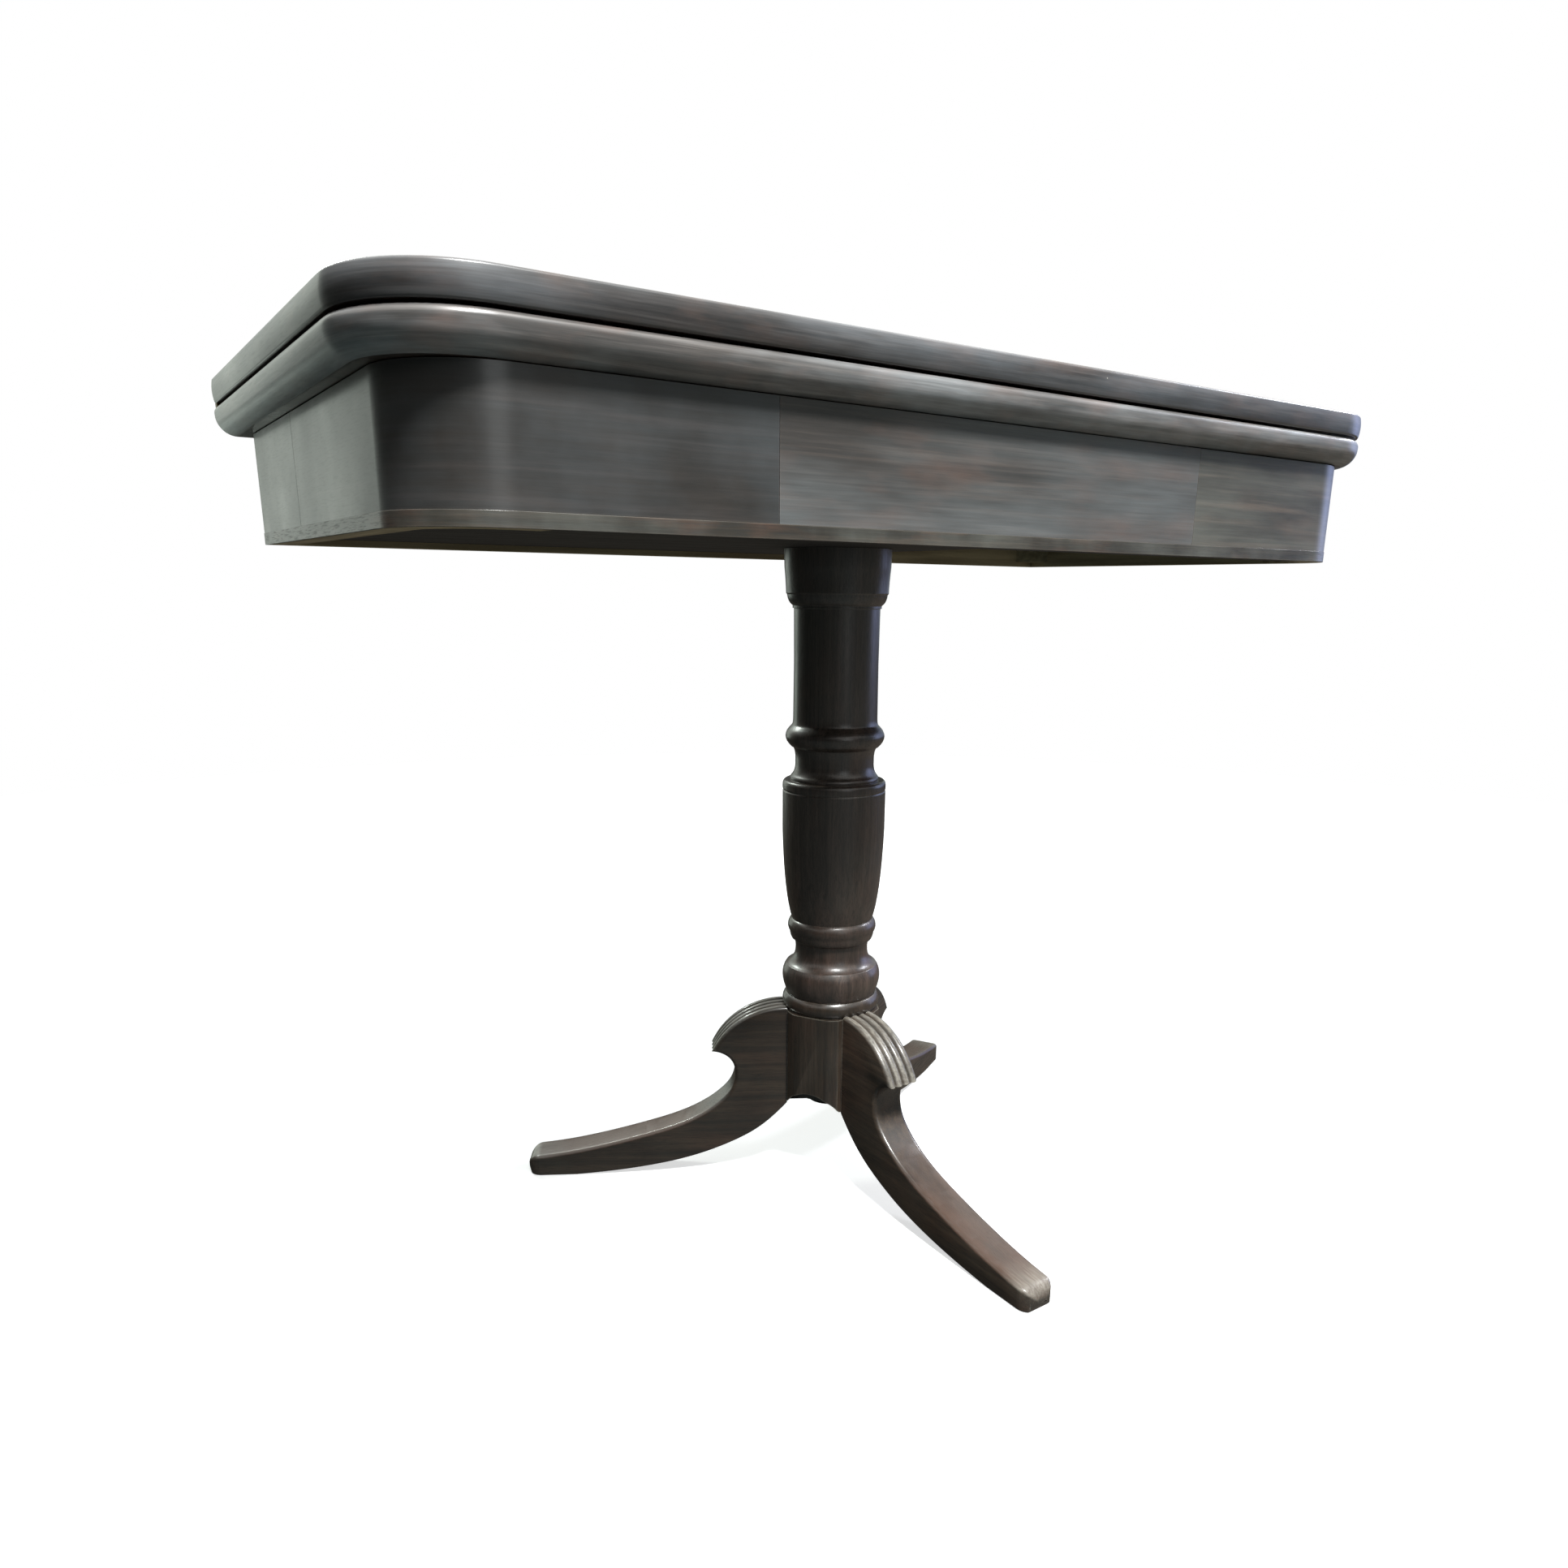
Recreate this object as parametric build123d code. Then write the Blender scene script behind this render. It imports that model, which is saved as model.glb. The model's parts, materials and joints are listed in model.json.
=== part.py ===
from build123d import *
import os
from math import acos, cos, degrees, radians, sin, sqrt

# Folding card table, closed: two folded leaves on a veneered frieze, a turned column and three sabre legs.
# Lengths are in millimetres. X runs along the front edge, Y towards the back, Z up from the floor.

# Leaves
table_height = 724.0
leaf_width = 914.0
leaf_depth = 457.0
leaf_corner_radius = 72.0
upper_leaf_thickness = 19.0
upper_leaf_top_round = 1.8
upper_leaf_bottom_round = 1.5
lower_leaf_thickness = 22.0
lower_leaf_top_round = 5.5
lower_leaf_bottom_round = 15.0
leaf_gap = 1.6

# Baize let into both playing faces, inside a border of bare wood
border_width = 58.0
baize_corner_radius = 18.0
baize_thickness = 1.0
baize_recess = 0.8
baize_edge_gap = 0.3

# Frieze and its rails
frieze_height = 83.5
front_overhang = 12.5
side_overhang = 21.7
back_overhang = 30.0
frieze_corner_radius = 60.0
rail_thickness = 18.0
back_rail_thickness = 20.0
corner_block_length = 78.0
veneer_thickness = 1.8
front_joint_left = -208.0
front_joint_right = 200.0
side_joint = 55.0
strip_height = 9.0
strip_proud = 1.0
strip_round = 0.8
swivel_clearance = 0.5
housing_depth = 4.0

# Card well on the left of the frieze
well_floor_thickness = 8.0
divider_thickness = 10.0
glue_block_width = 26.0
glue_block_height = 30.0

# Baize strips that the lower leaf slides on
slide_strip_width = 9.0
slide_strip_thickness = 1.0
slide_strip_recess = 0.8
slide_strip_length_share = 0.86

# Column bearer across the rails
bearer_width = 150.0
bearer_thickness = 32.0
bearer_rise = 5.0
joint_clearance = 0.1

# Column: heights above the hub and radii of its turned members
column_offset = 7.0
column_radius = 48.4
column_tenon_radius = 22.0
column_foot_tenon_radius = 18.0
column_foot_tenon_length = 66.0
capital_radius = 48.2
shaft_radius = 39.0
bulb_radius = 47.6

# Hub: a block with three wide panels, six narrow facets and three seats for the legs
hub_height = 187.0
hub_bottom = 76.0
hub_panel_distance = 46.1
hub_panel_half_width = 17.1
hub_facet_width = 11.4
arch_radius = 33.0
arch_rise = 16.0
arch_start = 24.0
collar_height = 15.0
collar_radius = 47.4
collar_neck_radius = 44.0

# Sabre legs
leg_reach = 302.0
leg_thickness = 34.0
leg_upper_round = 4.0
leg_lower_round = 2.2
knee_radius = 78.0
knee_centre_out = 46.5
knee_centre_height = 97.0
spur_angle = 24.0
foot_height = 21.5
toe_round = 13.0
toe_lead_angle = 8.0
toe_corner_round = 13.0
toe_inset = 4.0
foot_flat_length = 48.0
reed_count = 4
reed_depth = 3.2
reed_overlap_angle = 6.0
tongue_depth = 9.0
tongue_width = 12.0
tongue_flare = 4.0
tongue_height = 88.0

# Iron plate under the hub
tripod_plate_thickness = 3.0
tripod_plate_radius = 22.0
tripod_arm_width = 15.0
tripod_arm_reach = 42.0
tripod_outer_screw_radius = 37.5
tripod_inner_screw_radius = 14.0

# Swivel
pivot_rail_thickness = 36.0
pivot_plate_size = 70.0
pivot_plate_thickness = 4.0
pivot_plate_screw_spacing = 50.0
bolt_radius = 6.0
bolt_clearance = 0.06
bolt_head_size = 20.0
bolt_head_thickness = 5.0
bolt_end = 5.0
washer_radius = 17.0
washer_thickness = 2.5
washer_clearance = 0.1
nut_size = 20.0
nut_thickness = 9.0
stop_block_size = 24.0
stop_block_height = 14.0
stop_block_reach = 240.0
stop_clearance = 0.3

# Hinges at both ends of the back edge
hinge_length = 46.0
hinge_end_gap = 2.0
hinge_plate_thickness = 2.0
hinge_plate_height = 10.0
hinge_gap = 0.4
barrel_radius = 4.0
barrel_plate_gap = 0.4
knuckle_gap = 0.3
knuckle_count = 3
notch_clearance = 0.5
hinge_pin_radius = 1.6
hinge_pin_clearance = 0.05
pin_seat_clearance = 0.025

# Screws: head radius, shank radius and length of each kind
plate_screw = (4.0, 2.0, 17.0)
stop_screw = (3.6, 1.9, 27.0)
tripod_screw = (3.6, 1.8, 18.0)
hinge_screw = (3.0, 1.4, 13.0)
hinge_screw_count = 3
screw_slot_width = 0.9
screw_slot_depth_share = 0.55
screw_head_depth_share = 0.5
screw_tip_share = 0.25
screw_inset = 0.2

overrun = 5.0

# Levels and planes that several pieces share
upper_bottom_z = table_height - upper_leaf_thickness
lower_top_z = upper_bottom_z - leaf_gap
lower_bottom_z = lower_top_z - lower_leaf_thickness
frieze_top_z = lower_bottom_z - swivel_clearance
frieze_bottom_z = frieze_top_z - frieze_height
leaf_front = -leaf_depth / 2
leaf_back = leaf_depth / 2
frieze_half_width = leaf_width / 2 - side_overhang
frieze_front = leaf_front + front_overhang
frieze_back = leaf_back - back_overhang
rail_inset = veneer_thickness + rail_thickness
cavity_half_width = frieze_half_width - rail_inset
cavity_front = frieze_front + rail_inset
cavity_back = frieze_back - back_rail_thickness
bearer_bottom_z = frieze_bottom_z + bearer_rise
bearer_top_z = bearer_bottom_z + bearer_thickness
pivot_rail_bottom_z = frieze_top_z - pivot_rail_thickness

# The opened top centres itself over the frieze when the pivot stands a quarter of the depth from the middle
pivot_x = leaf_depth / 4
pivot_y = leaf_depth / 4
stop_side = cavity_back - pivot_y - stop_block_size / 2 - stop_clearance
pivot_rail_width = 2 * (stop_side - stop_block_size / 2 - stop_clearance)

hinge_axis_y = leaf_back + hinge_gap / 2
hinge_axis_z = lower_top_z + leaf_gap / 2

# Hub corners: the panel's end, then the facet turned 30 degrees inwards
facet_corner_out = hub_panel_distance - hub_facet_width * sin(radians(30))
facet_corner_side = hub_panel_half_width + hub_facet_width * cos(radians(30))
seat_distance = facet_corner_out * cos(radians(60)) + facet_corner_side * sin(radians(60))
leg_root_bottom = hub_bottom - tripod_plate_thickness
leg_azimuths = {"leg_front": 270, "leg_right": 30, "leg_left": 150}
panel_azimuths = (90, 210, 330)

# The model's origin lies under the middle of its bounding box
frame_shift = (leg_reach - column_offset - hinge_axis_y - barrel_radius) / 2


def block(x_min, x_max, y_min, y_max, z_min, z_max):
    """A box between two corners."""
    size = (x_max - x_min, y_max - y_min, z_max - z_min)
    middle = ((x_min + x_max) / 2, (y_min + y_max) / 2, (z_min + z_max) / 2)
    return Pos(*middle) * Box(*size)


def upright(radius, z_min, z_max, x=0, y=0):
    """A vertical cylinder."""
    return Pos(x, y, (z_min + z_max) / 2) * Cylinder(radius, z_max - z_min)


def turned(outline):
    """Revolve a half outline, drawn in X and Z, about the Z axis."""
    return revolve(make_face(outline), Axis.Z)


def write(name, shape):
    """Write one node, shifted to the model's own frame."""
    solids = shape.solids()
    moved = [Pos(0, frame_shift, 0) * solid for solid in solids]
    whole = moved[0] if len(moved) == 1 else Compound(children=moved)
    export_step(whole, f"parts/{name}.step")


# Screws

def screw_body(kind, clearance=0):
    """A countersunk screw pointing down, with the top of its head at the origin."""
    head_radius, shank_radius, length = kind
    head_depth = head_radius * screw_head_depth_share
    tip = length * screw_tip_share
    points = [
        (0, 0, 0),
        (head_radius + clearance, 0, 0),
        (shank_radius + clearance, 0, -head_depth),
        (shank_radius + clearance, 0, tip - length),
        (0, 0, -length - clearance),
    ]
    return turned(Polyline(*points, close=True))


def wood_screw(kind):
    """The screw with its driving slot."""
    head_radius = kind[0]
    slot_depth = head_radius * screw_head_depth_share * screw_slot_depth_share
    slot = block(
        -head_radius - overrun, head_radius + overrun,
        -screw_slot_width / 2, screw_slot_width / 2,
        -slot_depth, overrun,
    )
    return screw_body(kind) - slot


def drive(kind, places):
    """Screws at the given places, as a group."""
    return Part() + [place * wood_screw(kind) for place in places]


def screw_holes(kind, places):
    """Room for the same screws, open above their heads."""
    head_radius = kind[0]
    hole = screw_body(kind, joint_clearance)
    mouth = upright(head_radius + joint_clearance, 0, screw_inset + joint_clearance)
    return Part() + [place * (hole + mouth) for place in places]


def upward(x, y, z):
    """A place for a screw driven upwards, its head's face at z."""
    return Pos(x, y, z) * Rot(180, 0, 0)


def forward(x, y, z):
    """A place for a screw driven towards the front from a back face at y."""
    return Pos(x, y, z) * Rot(-90, 0, 0)


# Leaves

def leaf_outline(inset, corner_radius, back):
    """Leaf plan: a straight back edge and two rounded front corners."""
    half_width = leaf_width / 2 - inset
    depth = back - leaf_front - inset
    plan = Pos(0, back - depth / 2) * Rectangle(2 * half_width, depth)
    front_corners = plan.vertices().sort_by(Axis.Y)[:2]
    return fillet(front_corners, corner_radius)


def moulded_edges(solid, level):
    """The front and side edges of a leaf's face at the given height."""
    edges = solid.edges().filter_by_position(Axis.Z, level - joint_clearance, level + joint_clearance)
    return [edge for edge in edges if edge.center().Y < leaf_back - joint_clearance]


def leaf_blank(bottom_z, thickness, bottom_round, top_round):
    plan = leaf_outline(0, leaf_corner_radius, leaf_back)
    blank = Pos(0, 0, bottom_z) * extrude(plan, thickness)
    blank = fillet(moulded_edges(blank, bottom_z), bottom_round)
    return fillet(moulded_edges(blank, bottom_z + thickness), top_round)


def baize_sheet(bottom_z, edge_gap, thickness):
    plan = leaf_outline(border_width + edge_gap, baize_corner_radius, leaf_back)
    return Pos(0, 0, bottom_z) * extrude(plan, thickness)


def hinge_start(side):
    """The lower X of the hinge at the left (-1) or right (+1) end."""
    inner = leaf_width / 2 - hinge_end_gap - hinge_length
    return inner if side > 0 else -inner - hinge_length


def hinge_recess(side, up):
    """Room in one leaf's back edge for the knuckles and its plate, above (+1) or below (-1) the axis."""
    start = hinge_start(side)
    reach = barrel_radius + notch_clearance
    knuckles = block(
        start - notch_clearance, start + hinge_length + notch_clearance,
        hinge_axis_y - reach, leaf_back + overrun,
        hinge_axis_z - reach, hinge_axis_z + reach,
    )
    near = hinge_axis_z
    far = hinge_axis_z + up * (barrel_radius + barrel_plate_gap + hinge_plate_height)
    plate = block(
        start, start + hinge_length,
        leaf_back - hinge_plate_thickness, leaf_back + overrun,
        min(near, far), max(near, far),
    )
    return knuckles + plate


def hinge_screw_places(side, up):
    step = hinge_length / hinge_screw_count
    height = barrel_radius + barrel_plate_gap + hinge_plate_height / 2
    return [
        forward(
            hinge_start(side) + step * (index + 1 / 2),
            leaf_back - screw_inset,
            hinge_axis_z + up * height,
        )
        for index in range(hinge_screw_count)
    ]


def pivot_screw_places():
    half = pivot_plate_screw_spacing / 2
    level = lower_bottom_z + screw_inset
    return [upward(pivot_x + dx * half, pivot_y + dy * half, level) for dx in (-1, 1) for dy in (-1, 1)]


def stop_screw_places():
    quarter = stop_block_size / 4
    level = lower_bottom_z - stop_block_height + screw_inset
    x = pivot_x + stop_side
    y = pivot_y - stop_block_reach
    return [upward(x + step, y + step, level) for step in (-quarter, quarter)]


def upper_leaf():
    leaf = leaf_blank(upper_bottom_z, upper_leaf_thickness, upper_leaf_bottom_round, upper_leaf_top_round)
    leaf -= baize_sheet(upper_bottom_z - overrun, 0, overrun + baize_recess)
    for side in (-1, 1):
        leaf -= hinge_recess(side, 1)
        leaf -= screw_holes(hinge_screw, hinge_screw_places(side, 1))
    return leaf


def lower_leaf():
    leaf = leaf_blank(lower_bottom_z, lower_leaf_thickness, lower_leaf_bottom_round, lower_leaf_top_round)
    leaf -= baize_sheet(lower_top_z - baize_recess, 0, baize_recess + overrun)
    for side in (-1, 1):
        leaf -= hinge_recess(side, -1)
        leaf -= screw_holes(hinge_screw, hinge_screw_places(side, -1))
    leaf -= pivot_plate_blank(lower_bottom_z - overrun, pivot_plate_thickness + overrun)
    leaf -= bolt_head(joint_clearance)
    leaf -= screw_holes(plate_screw, pivot_screw_places())
    return leaf - screw_holes(stop_screw, stop_screw_places())


# Hinges

def knuckle_spans(own):
    """X spans, from the hinge's start, of the knuckles numbered even (0) or odd (1)."""
    pitch = (hinge_length + knuckle_gap) / knuckle_count
    return [
        (pitch * index, pitch * (index + 1) - knuckle_gap)
        for index in range(knuckle_count)
        if index % 2 == own
    ]


def hinge_leaf(side, up, own, bore_clearance):
    """A hinge plate with its knuckles, above (+1) or below (-1) the axis."""
    start = hinge_start(side)
    near = hinge_axis_z + up * (barrel_radius + barrel_plate_gap)
    far = near + up * hinge_plate_height
    front = leaf_back - hinge_plate_thickness
    plate = block(start, start + hinge_length, front, leaf_back, min(near, far), max(near, far))
    for low, high in knuckle_spans(own):
        tab_low = min(hinge_axis_z, far)
        tab_high = max(hinge_axis_z, far)
        plate += block(start + low, start + high, front, leaf_back, tab_low, tab_high)
        barrel = Rot(0, 90, 0) * Cylinder(barrel_radius, high - low)
        plate += Pos(start + (low + high) / 2, hinge_axis_y, hinge_axis_z) * barrel
    plate -= hinge_pin(side, bore_clearance)
    return plate - screw_holes(hinge_screw, hinge_screw_places(side, up))


def hinge_pin(side, clearance=0):
    pin = Rot(0, 90, 0) * Cylinder(hinge_pin_radius + clearance, hinge_length + 2 * clearance)
    return Pos(hinge_start(side) + hinge_length / 2, hinge_axis_y, hinge_axis_z) * pin


# Frieze

def frieze_plan(inset):
    """Frieze plan with its front and sides moved inwards; the back stays."""
    half_width = frieze_half_width - inset
    depth = frieze_back - frieze_front - inset
    plan = Pos(0, frieze_back - depth / 2) * Rectangle(2 * half_width, depth)
    front_corners = plan.vertices().sort_by(Axis.Y)[:2]
    return fillet(front_corners, frieze_corner_radius - inset)


def frieze_band(outer_inset, inner_inset, z_min, z_max):
    """A band that follows the front and both sides."""
    height = z_max - z_min
    outer = extrude(frieze_plan(outer_inset), height)
    inner = extrude(frieze_plan(inner_inset), height)
    return Pos(0, 0, z_min) * (outer - inner)


def side_limits(side, near):
    """X limits of a cutting block on one side of the plane at near."""
    outer = side * (frieze_half_width + strip_proud + overrun)
    return (outer, near) if side < 0 else (near, outer)


def core_piece(side, near, y_min, y_max):
    """The stretch of the rails' band inside a cutting block."""
    band = frieze_band(veneer_thickness, rail_inset, frieze_bottom_z, frieze_top_z)
    x_min, x_max = side_limits(side, near)
    return band & block(x_min, x_max, y_min, y_max, frieze_bottom_z, frieze_top_z)


def housed_pieces():
    """What is housed in the rails: bearer, pivot rail, well floor and divider."""
    return [bearer_blank(), pivot_rail_blank(), well_floor(), well_divider()]


def front_rail():
    end = frieze_half_width - corner_block_length
    rail = block(
        -end, end,
        frieze_front + veneer_thickness, cavity_front,
        frieze_bottom_z, frieze_top_z,
    )
    return housed(rail)


def back_rail():
    rail = block(
        -cavity_half_width, cavity_half_width,
        cavity_back, frieze_back,
        frieze_bottom_z, frieze_top_z,
    )
    return housed(rail)


def side_rail(side):
    return housed(core_piece(side, 0, frieze_front + corner_block_length, frieze_back))


def corner_block(side):
    end = side * (frieze_half_width - corner_block_length)
    return housed(core_piece(side, end, frieze_front - overrun, frieze_front + corner_block_length))


def housed(rail):
    """Cut the housings and the grooves for the baize strips."""
    for piece in housed_pieces():
        rail -= piece
    for groove in slide_strips(frieze_top_z - slide_strip_recess, slide_strip_recess + overrun):
        rail -= groove
    return rail


def slide_strips(z_min, thickness):
    """Four strips along the middle of the rails' top edges."""
    half_strip = slide_strip_width / 2
    front_y = (frieze_front + veneer_thickness + cavity_front) / 2
    back_y = (cavity_back + frieze_back) / 2
    half_length = (frieze_half_width - corner_block_length) * slide_strip_length_share
    strips = [
        block(-half_length, half_length, y - half_strip, y + half_strip, z_min, z_min + thickness)
        for y in (front_y, back_y)
    ]
    middle_y = (frieze_front + corner_block_length + cavity_back) / 2
    half_side = (cavity_back - frieze_front - corner_block_length) / 2 * slide_strip_length_share
    middle_x = cavity_half_width + rail_thickness / 2
    for x in (-middle_x, middle_x):
        strips.append(block(
            x - half_strip, x + half_strip,
            middle_y - half_side, middle_y + half_side,
            z_min, z_min + thickness,
        ))
    return strips


def veneer(x_min, x_max, y_min, y_max):
    """One sheet of the frieze's veneer, between two pairs of planes."""
    bottom = frieze_bottom_z + strip_height
    band = frieze_band(0, veneer_thickness, bottom, frieze_top_z)
    return band & block(x_min, x_max, y_min, y_max, bottom, frieze_top_z)


def frieze_strip():
    """The thin strip along the frieze's lower edge, a little proud of the veneer."""
    top = frieze_bottom_z + strip_height
    strip = frieze_band(-strip_proud, veneer_thickness, frieze_bottom_z, top)
    outer_width = 2 * (frieze_half_width + strip_proud)
    clear = outer_width / 2 - strip_proud / 2
    front_clear = frieze_front - strip_proud / 2
    edges = [
        edge
        for edge in strip.edges().filter_by(GeomType.LINE)
        if edge.length > corner_block_length
        and (abs(edge.center().X) > clear or edge.center().Y < front_clear)
    ]
    return fillet(edges, strip_round)


def bearer_blank():
    return block(
        -bearer_width / 2, bearer_width / 2,
        cavity_front - housing_depth, cavity_back + housing_depth,
        bearer_bottom_z, bearer_top_z,
    )


def column_bearer():
    bore = upright(column_tenon_radius + joint_clearance, bearer_bottom_z, bearer_top_z, 0, column_offset)
    return bearer_blank() - bore


def pivot_rail_blank():
    return block(
        pivot_x - pivot_rail_width / 2, pivot_x + pivot_rail_width / 2,
        cavity_front - housing_depth, cavity_back + housing_depth,
        pivot_rail_bottom_z, frieze_top_z,
    )


def pivot_rail():
    bore_radius = bolt_radius + bolt_clearance
    return pivot_rail_blank() - upright(bore_radius, pivot_rail_bottom_z, frieze_top_z, pivot_x, pivot_y)


def well_floor():
    """Floor of the card well, housed in the rails and the left corner block."""
    plan = frieze_plan(rail_inset - housing_depth)
    sheet = Pos(0, 0, bearer_bottom_z) * extrude(plan, well_floor_thickness)
    return sheet & block(
        -frieze_half_width, -bearer_width / 2,
        frieze_front, cavity_back + housing_depth,
        bearer_bottom_z, bearer_bottom_z + well_floor_thickness,
    )


def well_divider():
    left = -bearer_width / 2
    return block(
        left, left + divider_thickness,
        cavity_front - housing_depth, cavity_back + housing_depth,
        bearer_top_z, frieze_top_z,
    )


def glue_blocks():
    """Triangular blocks beside the bearer and in the back-right corner."""
    corners = [
        (bearer_width / 2, cavity_front, 1, 1),
        (bearer_width / 2, cavity_back, 1, -1),
        (cavity_half_width, cavity_back, -1, -1),
    ]
    blocks = []
    for x, y, along_x, along_y in corners:
        triangle = Polyline(
            (x, y), (x + along_x * glue_block_width, y), (x, y + along_y * glue_block_width),
            close=True,
        )
        blocks.append(Pos(0, 0, bearer_bottom_z) * extrude(make_face(triangle), glue_block_height))
    return Part() + blocks


# Swivel

def pivot_plate_blank(z_min, thickness):
    half = pivot_plate_size / 2
    return block(pivot_x - half, pivot_x + half, pivot_y - half, pivot_y + half, z_min, z_min + thickness)


def pivot_plate():
    plate = pivot_plate_blank(lower_bottom_z, pivot_plate_thickness)
    top = lower_bottom_z + pivot_plate_thickness
    plate -= upright(bolt_radius + bolt_clearance, lower_bottom_z, top, pivot_x, pivot_y)
    return plate - screw_holes(plate_screw, pivot_screw_places())


def bolt_head(clearance=0):
    half = bolt_head_size / 2 + clearance
    bottom = lower_bottom_z + pivot_plate_thickness
    top = bottom + bolt_head_thickness + clearance
    return block(pivot_x - half, pivot_x + half, pivot_y - half, pivot_y + half, bottom, top)


def pivot_bolt():
    end = nut_bottom_z() - bolt_end
    shank = upright(bolt_radius, end, lower_bottom_z + pivot_plate_thickness, pivot_x, pivot_y)
    return bolt_head() + shank


def washer_top_z():
    return pivot_rail_bottom_z - washer_clearance


def nut_bottom_z():
    return washer_top_z() - washer_thickness - nut_thickness


def pivot_washer():
    top = washer_top_z()
    ring = upright(washer_radius, top - washer_thickness, top, pivot_x, pivot_y)
    return ring - upright(bolt_radius + bolt_clearance, top - washer_thickness, top, pivot_x, pivot_y)


def pivot_nut():
    half = nut_size / 2
    bottom = nut_bottom_z()
    top = bottom + nut_thickness
    nut = block(pivot_x - half, pivot_x + half, pivot_y - half, pivot_y + half, bottom, top)
    return nut - upright(bolt_radius + bolt_clearance, bottom, top, pivot_x, pivot_y)


def stop_block():
    """Meets the pivot rail's side when the top is closed, and the back rail after a quarter turn."""
    half = stop_block_size / 2
    x = pivot_x + stop_side
    y = pivot_y - stop_block_reach
    wood = block(x - half, x + half, y - half, y + half, lower_bottom_z - stop_block_height, lower_bottom_z)
    return wood - screw_holes(stop_screw, stop_screw_places())


# Column: each step of the profile is a straight or, with a middle point, an arc.
# Radii are shares of the member's radius, heights are shares of the column's length.

column_bottom_shares = [
    ("line", (0.905, 0.0)),
    ("arc", (1.0, 0.040), (0.925, 0.070)),
    ("line", (0.895, 0.0715)),
    ("arc", (0.775, 0.086), (0.735, 0.108)),
    ("arc", (0.744, 0.121), (0.778, 0.130)),
    ("line", (0.812, 0.132)),
    ("arc", (0.841, 0.139), (0.856, 0.148)),
    ("line", (0.866, 0.151)),
    ("arc", (0.895, 0.165), (0.845, 0.179)),
]
vase_shares = [
    ("line", (0.806, 0.181)),
    ("arc", (0.934, 0.262), (1.0, 0.390)),
    ("line", (1.0, 0.479)),
    ("line", (0.985, 0.482)),
    ("line", (1.002, 0.485)),
    ("line", (1.002, 0.493)),
    ("arc", (0.990, 0.500), (0.955, 0.504)),
    ("line", (0.850, 0.504)),
    ("arc", (0.856, 0.510), (0.820, 0.516)),
    ("arc", (0.770, 0.529), (0.760, 0.545)),
    ("arc", (0.767, 0.565), (0.806, 0.577)),
    ("line", (0.840, 0.579)),
    ("arc", (0.950, 0.602), (0.840, 0.625)),
    ("line", (0.826, 0.627)),
    ("arc", (0.811, 0.633), (0.8058, 0.643)),
]
shaft_shares = [
    ("line", (0.99, 0.760)),
    ("line", (1.0, 0.877)),
]
capital_shares = [
    ("line", (0.835, 0.877)),
    ("line", (0.835, 0.883)),
    ("arc", (0.905, 0.892), (0.940, 0.906)),
    ("line", (0.958, 0.908)),
    ("arc", (0.970, 0.935), (0.990, 0.962)),
    ("line", (1.0, 1.0)),
]


def profile_edges(start, steps, radius, base, length):
    """Edges of one stretch of the profile, and the point where it ends."""
    def place(share):
        return Vector(share[0] * radius, 0, base + share[1] * length)

    edges = []
    here = start
    for kind, *shares in steps:
        there = place(shares[-1])
        if kind == "arc":
            edges.append(ThreePointArc(here, place(shares[0]), there))
        else:
            edges.append(Line(here, there))
        here = there
    return edges, here


def column():
    length = bearer_bottom_z - hub_height
    foot_z = hub_height - column_foot_tenon_length
    here = Vector(column_foot_tenon_radius, 0, hub_height)
    tenon = Polyline((0, 0, foot_z), (column_foot_tenon_radius, 0, foot_z), here)
    edges = list(tenon.edges())
    stretches = [
        (column_bottom_shares, bulb_radius),
        (vase_shares, column_radius),
        (shaft_shares, shaft_radius),
        (capital_shares, capital_radius),
    ]
    for steps, radius in stretches:
        new_edges, here = profile_edges(here, steps, radius, hub_height, length)
        edges += new_edges
    head = Polyline(
        here,
        (column_tenon_radius, 0, bearer_bottom_z),
        (column_tenon_radius, 0, bearer_top_z),
        (0, 0, bearer_top_z),
        (0, 0, foot_z),
    )
    edges += list(head.edges())
    return Pos(0, column_offset) * turned(edges)


# Hub

def hub_plan():
    one_panel = [
        Vector(facet_corner_out, -facet_corner_side),
        Vector(hub_panel_distance, -hub_panel_half_width),
        Vector(hub_panel_distance, hub_panel_half_width),
        Vector(facet_corner_out, facet_corner_side),
    ]
    corners = [corner.rotate(Axis.Z, azimuth) for azimuth in panel_azimuths for corner in one_panel]
    return make_face(Polyline(*corners, close=True))


def hub_blank():
    """The faceted block, arched below its panels, with the collar ring on top."""
    collar_bottom = hub_height - collar_height
    blank = Pos(0, 0, hub_bottom) * extrude(hub_plan(), collar_bottom - hub_bottom)
    for azimuth in panel_azimuths:
        depth = collar_radius
        cutter = Rot(0, 90, 0) * Cylinder(arch_radius, depth)
        level = hub_bottom + arch_rise - arch_radius
        blank -= Rot(0, 0, azimuth) * Pos(arch_start + depth / 2, 0, level) * cutter
    ring = [
        Line((0, 0, collar_bottom), (collar_neck_radius, 0, collar_bottom)),
        ThreePointArc(
            (collar_neck_radius, 0, collar_bottom),
            (collar_radius, 0, hub_height - collar_height / 2),
            (collar_neck_radius, 0, hub_height),
        ),
        Line((collar_neck_radius, 0, hub_height), (0, 0, hub_height)),
        Line((0, 0, hub_height), (0, 0, collar_bottom)),
    ]
    return blank + turned(ring)


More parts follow.
